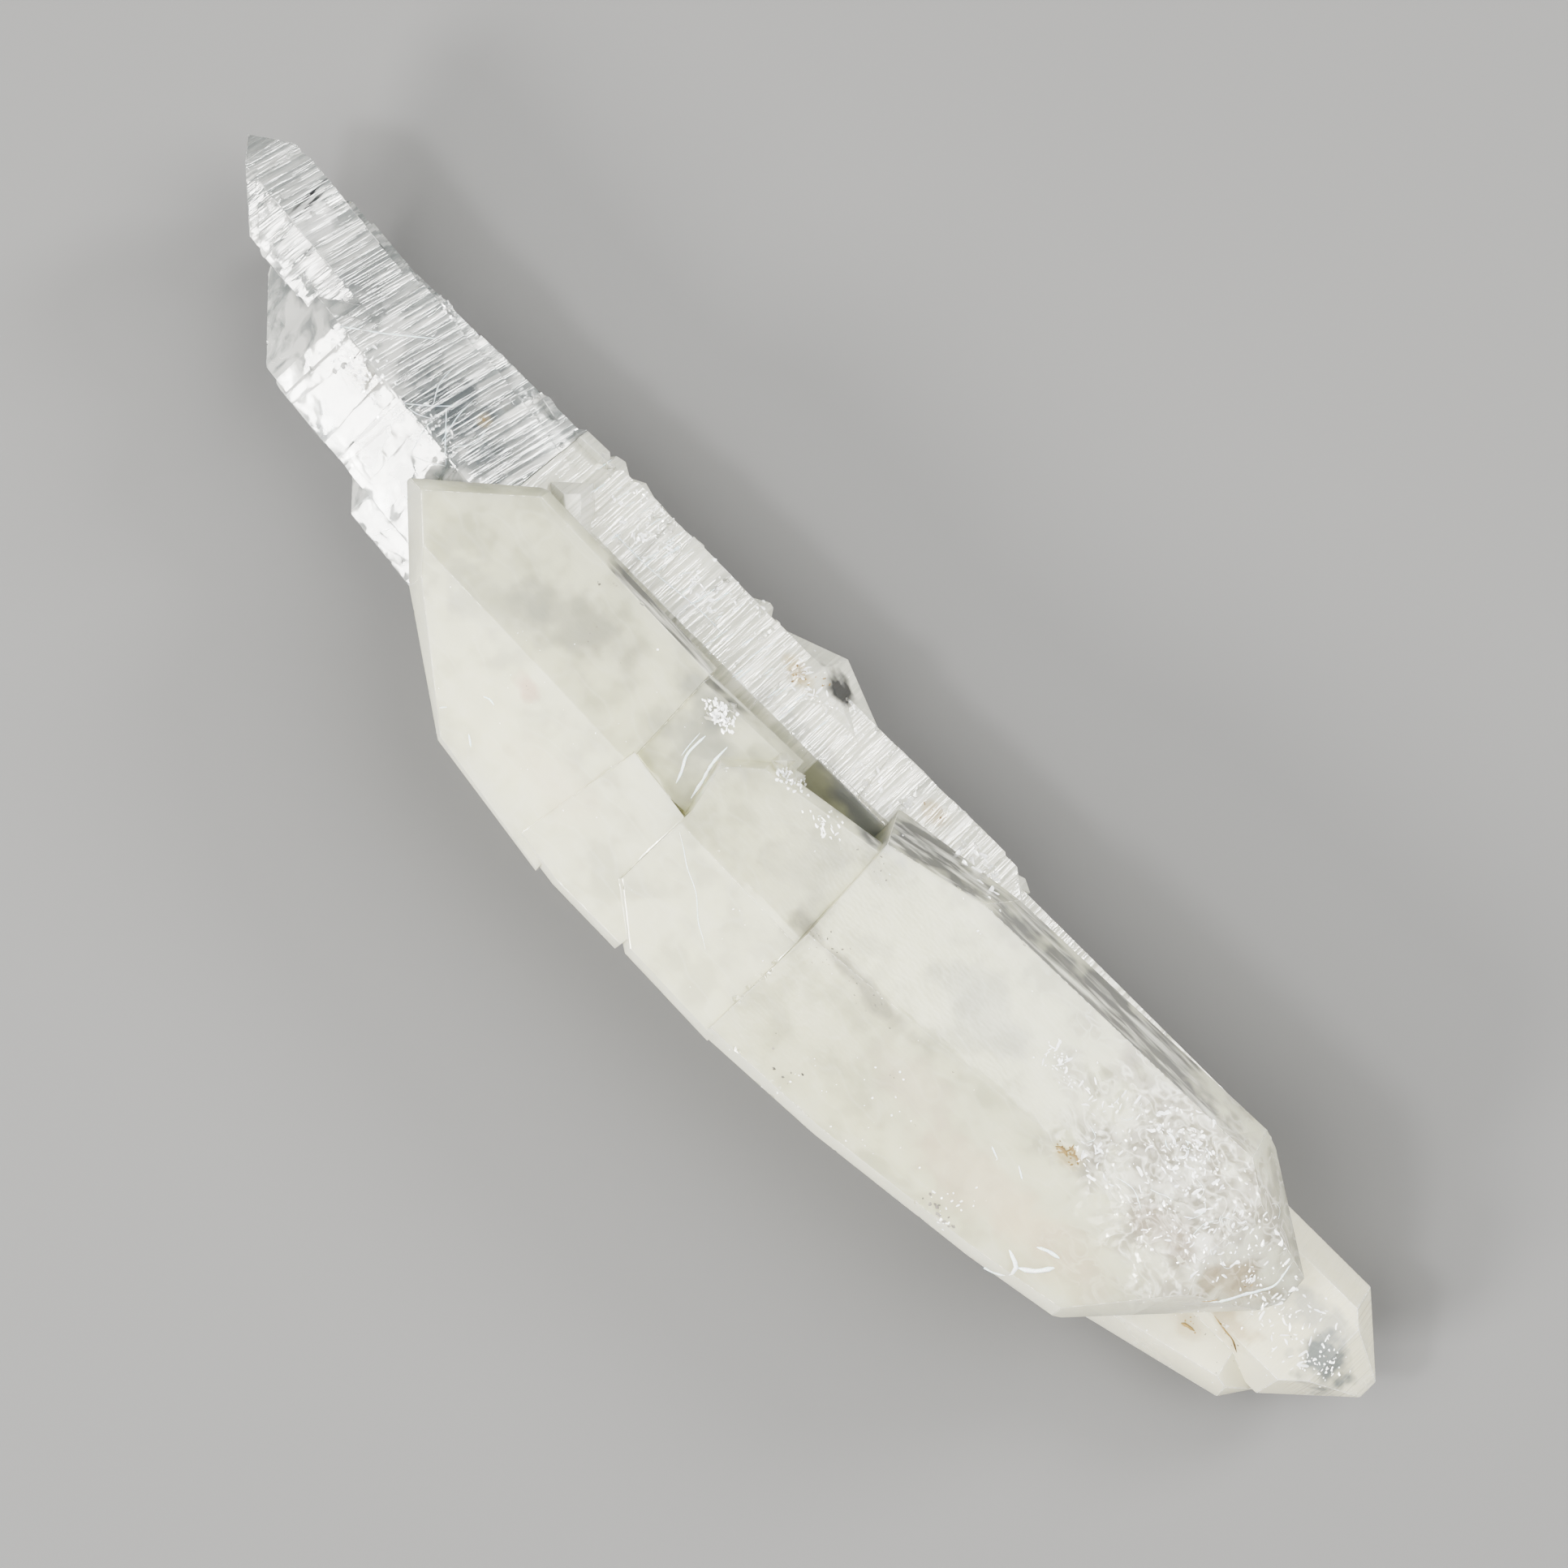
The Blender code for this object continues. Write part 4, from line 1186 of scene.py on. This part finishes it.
# The dark patches on the small tab and at the lower point are painted shade: the dark seen through clear
# quartz.
STRIP_TINTS = (
    (1.15, -4.65, 0.8, 0.34, -0.3, 1, (0.1, 0.1, 0.1)), (2.3, -4.1, 0.6, 0.4, 0, 0.6, (0.6, 0.45, 0.2)),
    (-23.2, -2.1, 1.2, 0.8, 0.2, 0.85, (0.2, 0.23, 0.25)), (-19.8, 0.1, 0.8, 0.4, 0.2, 0.4, (0.6, 0.5, 0.33)),
    (-3.4, -4.3, 0.6, 0.3, 0, 0.5, (0.55, 0.43, 0.25)), (-20.6, -0.9, 0.9, 0.5, 0, 0.5, (0.5, 0.4, 0.25)),
    (-22, -2.9, 1.4, 0.6, 0.2, 0.5, (0.4, 0.42, 0.43)), (0, -3, 3.5, 0.3, 0.05, 0.4, (0.45, 0.46, 0.45)),
)
clear = streaked("clear_quartz", 0.13, (0.33, 0.355, 0.36, 1), (1.0, 1.0, 0.97, 1), (0.9, 0.9, 0.85, 1),
                 0.1, 0.2, 25.0, SPIRE_TINTS, Transmission_Weight=0.66)
veiled = streaked("veiled_quartz", -0.03, (0.66, 0.67, 0.6, 1), (1.0, 0.99, 0.88, 1), (0.9, 0.87, 0.7, 1),
                  0.16, 0.5, 10.0, STRIP_TINTS, Transmission_Weight=0.42, Subsurface_Weight=0.5,
                  Subsurface_Scale=0.001, Subsurface_Radius=(1.0, 0.97, 0.9))
print("glassy:", clear.name, veiled.name)

# %% [markdown]
# The small things need less. One function mixes two colours by clouds, with a roughness that varies a
# little: glossy white for the threads and flakes, and dull brown and grey for the rust and the rock.

# %% Threads, flakes, rust and grains
def crumb_finish(name, scale, softness, first, second, spread, least, **values):
    """A finish of two colours in clouds, with roughness from least to least plus spread."""
    material, tree, shader = principled(name, **values)
    clouds = grouped(tree, cloud_group, {"Scale": scale, "Softness": softness})
    tree.links.new(blend(tree, clouds["Cloud"], (*first, 1), (*second, 1)), shader.inputs["Base Color"])
    tree.links.new(sloped(tree, clouds["Grain"], spread, least), shader.inputs["Roughness"])
    return material


white = crumb_finish("white_thread", 1500.0, 0.6, (0.99, 0.99, 0.98), (0.9, 0.91, 0.92), 0.3, 0.15,
                     IOR=QUARTZ, Transmission_Weight=0.2, Subsurface_Weight=0.4, Subsurface_Scale=0.0003)
bright = crumb_finish("bright_flake", 1800.0, 0.5, (1.0, 1.0, 1.0), (0.85, 0.87, 0.9), 0.12, 0.06,
                      IOR=QUARTZ, Transmission_Weight=0.2, Specular_IOR_Level=1.0)
rust = crumb_finish("iron_rust", 2500.0, 0.7, (0.11, 0.07, 0.035), (0.36, 0.27, 0.12), 0.4, 0.4,
                    Specular_IOR_Level=0.4)
rock = crumb_finish("dark_grain", 2500.0, 0.7, (0.06, 0.055, 0.05), (0.3, 0.28, 0.25), 0.4, 0.35,
                    Specular_IOR_Level=0.4)
print("materials:", [material.name for material in bpy.data.materials if material.use_nodes])

# %% [markdown]
# Facets meet in sharp edges, and only the gentle steps inside a face are shaded smooth. The angles are
# judged on triangles, because a folded sliver inside a large face would turn its shading inside out.

# %% Finish the pieces
def smooth_where_gentle(bm, angle):
    """Smooth shading over edges that turn by less than the angle, sharp shading over the rest."""
    bmesh.ops.triangulate(bm, faces=bm.faces[:])
    bm.normal_update()
    for face in bm.faces:
        face.smooth = True
    for edge in bm.edges:
        edge.smooth = edge.calc_face_angle(0) < math.radians(angle)


def piece(bm, name, material):
    bmesh.ops.triangulate(bm, faces=bm.faces[:])
    bmesh.ops.scale(bm, vec=(MM, MM, MM), verts=bm.verts[:])
    made = object_from(bm, name)
    made.data.materials.append(material)
    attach(made, "root")
    print(name, "triangles:", len(made.data.polygons))
    return made


# The largest turn, in degrees, that still looks smooth. The strips keep every facet.
for bm, turn in ((parts["plates"], 14), (parts["spire"], 16), (thread_bm, 60)):
    smooth_where_gentle(bm, turn)
for label, name, material in (("plates", "milky_plates", milky), ("spire", "clear_spire", clear),
                              ("strips", "veiled_strips", veiled)):
    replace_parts(piece(parts[label], name, material), NODE)
for bm, name, material in ((thread_bm, "white_threads", white), (sliver_bm, "healed_cracks", bright),
                           (flake_bm, "bright_flakes", bright), (rust_bm, "rust_threads", rust),
                           (rust_specks, "rust_specks", rust), (grain_bm, "dark_grains", rock)):
    piece(bm, name, material)
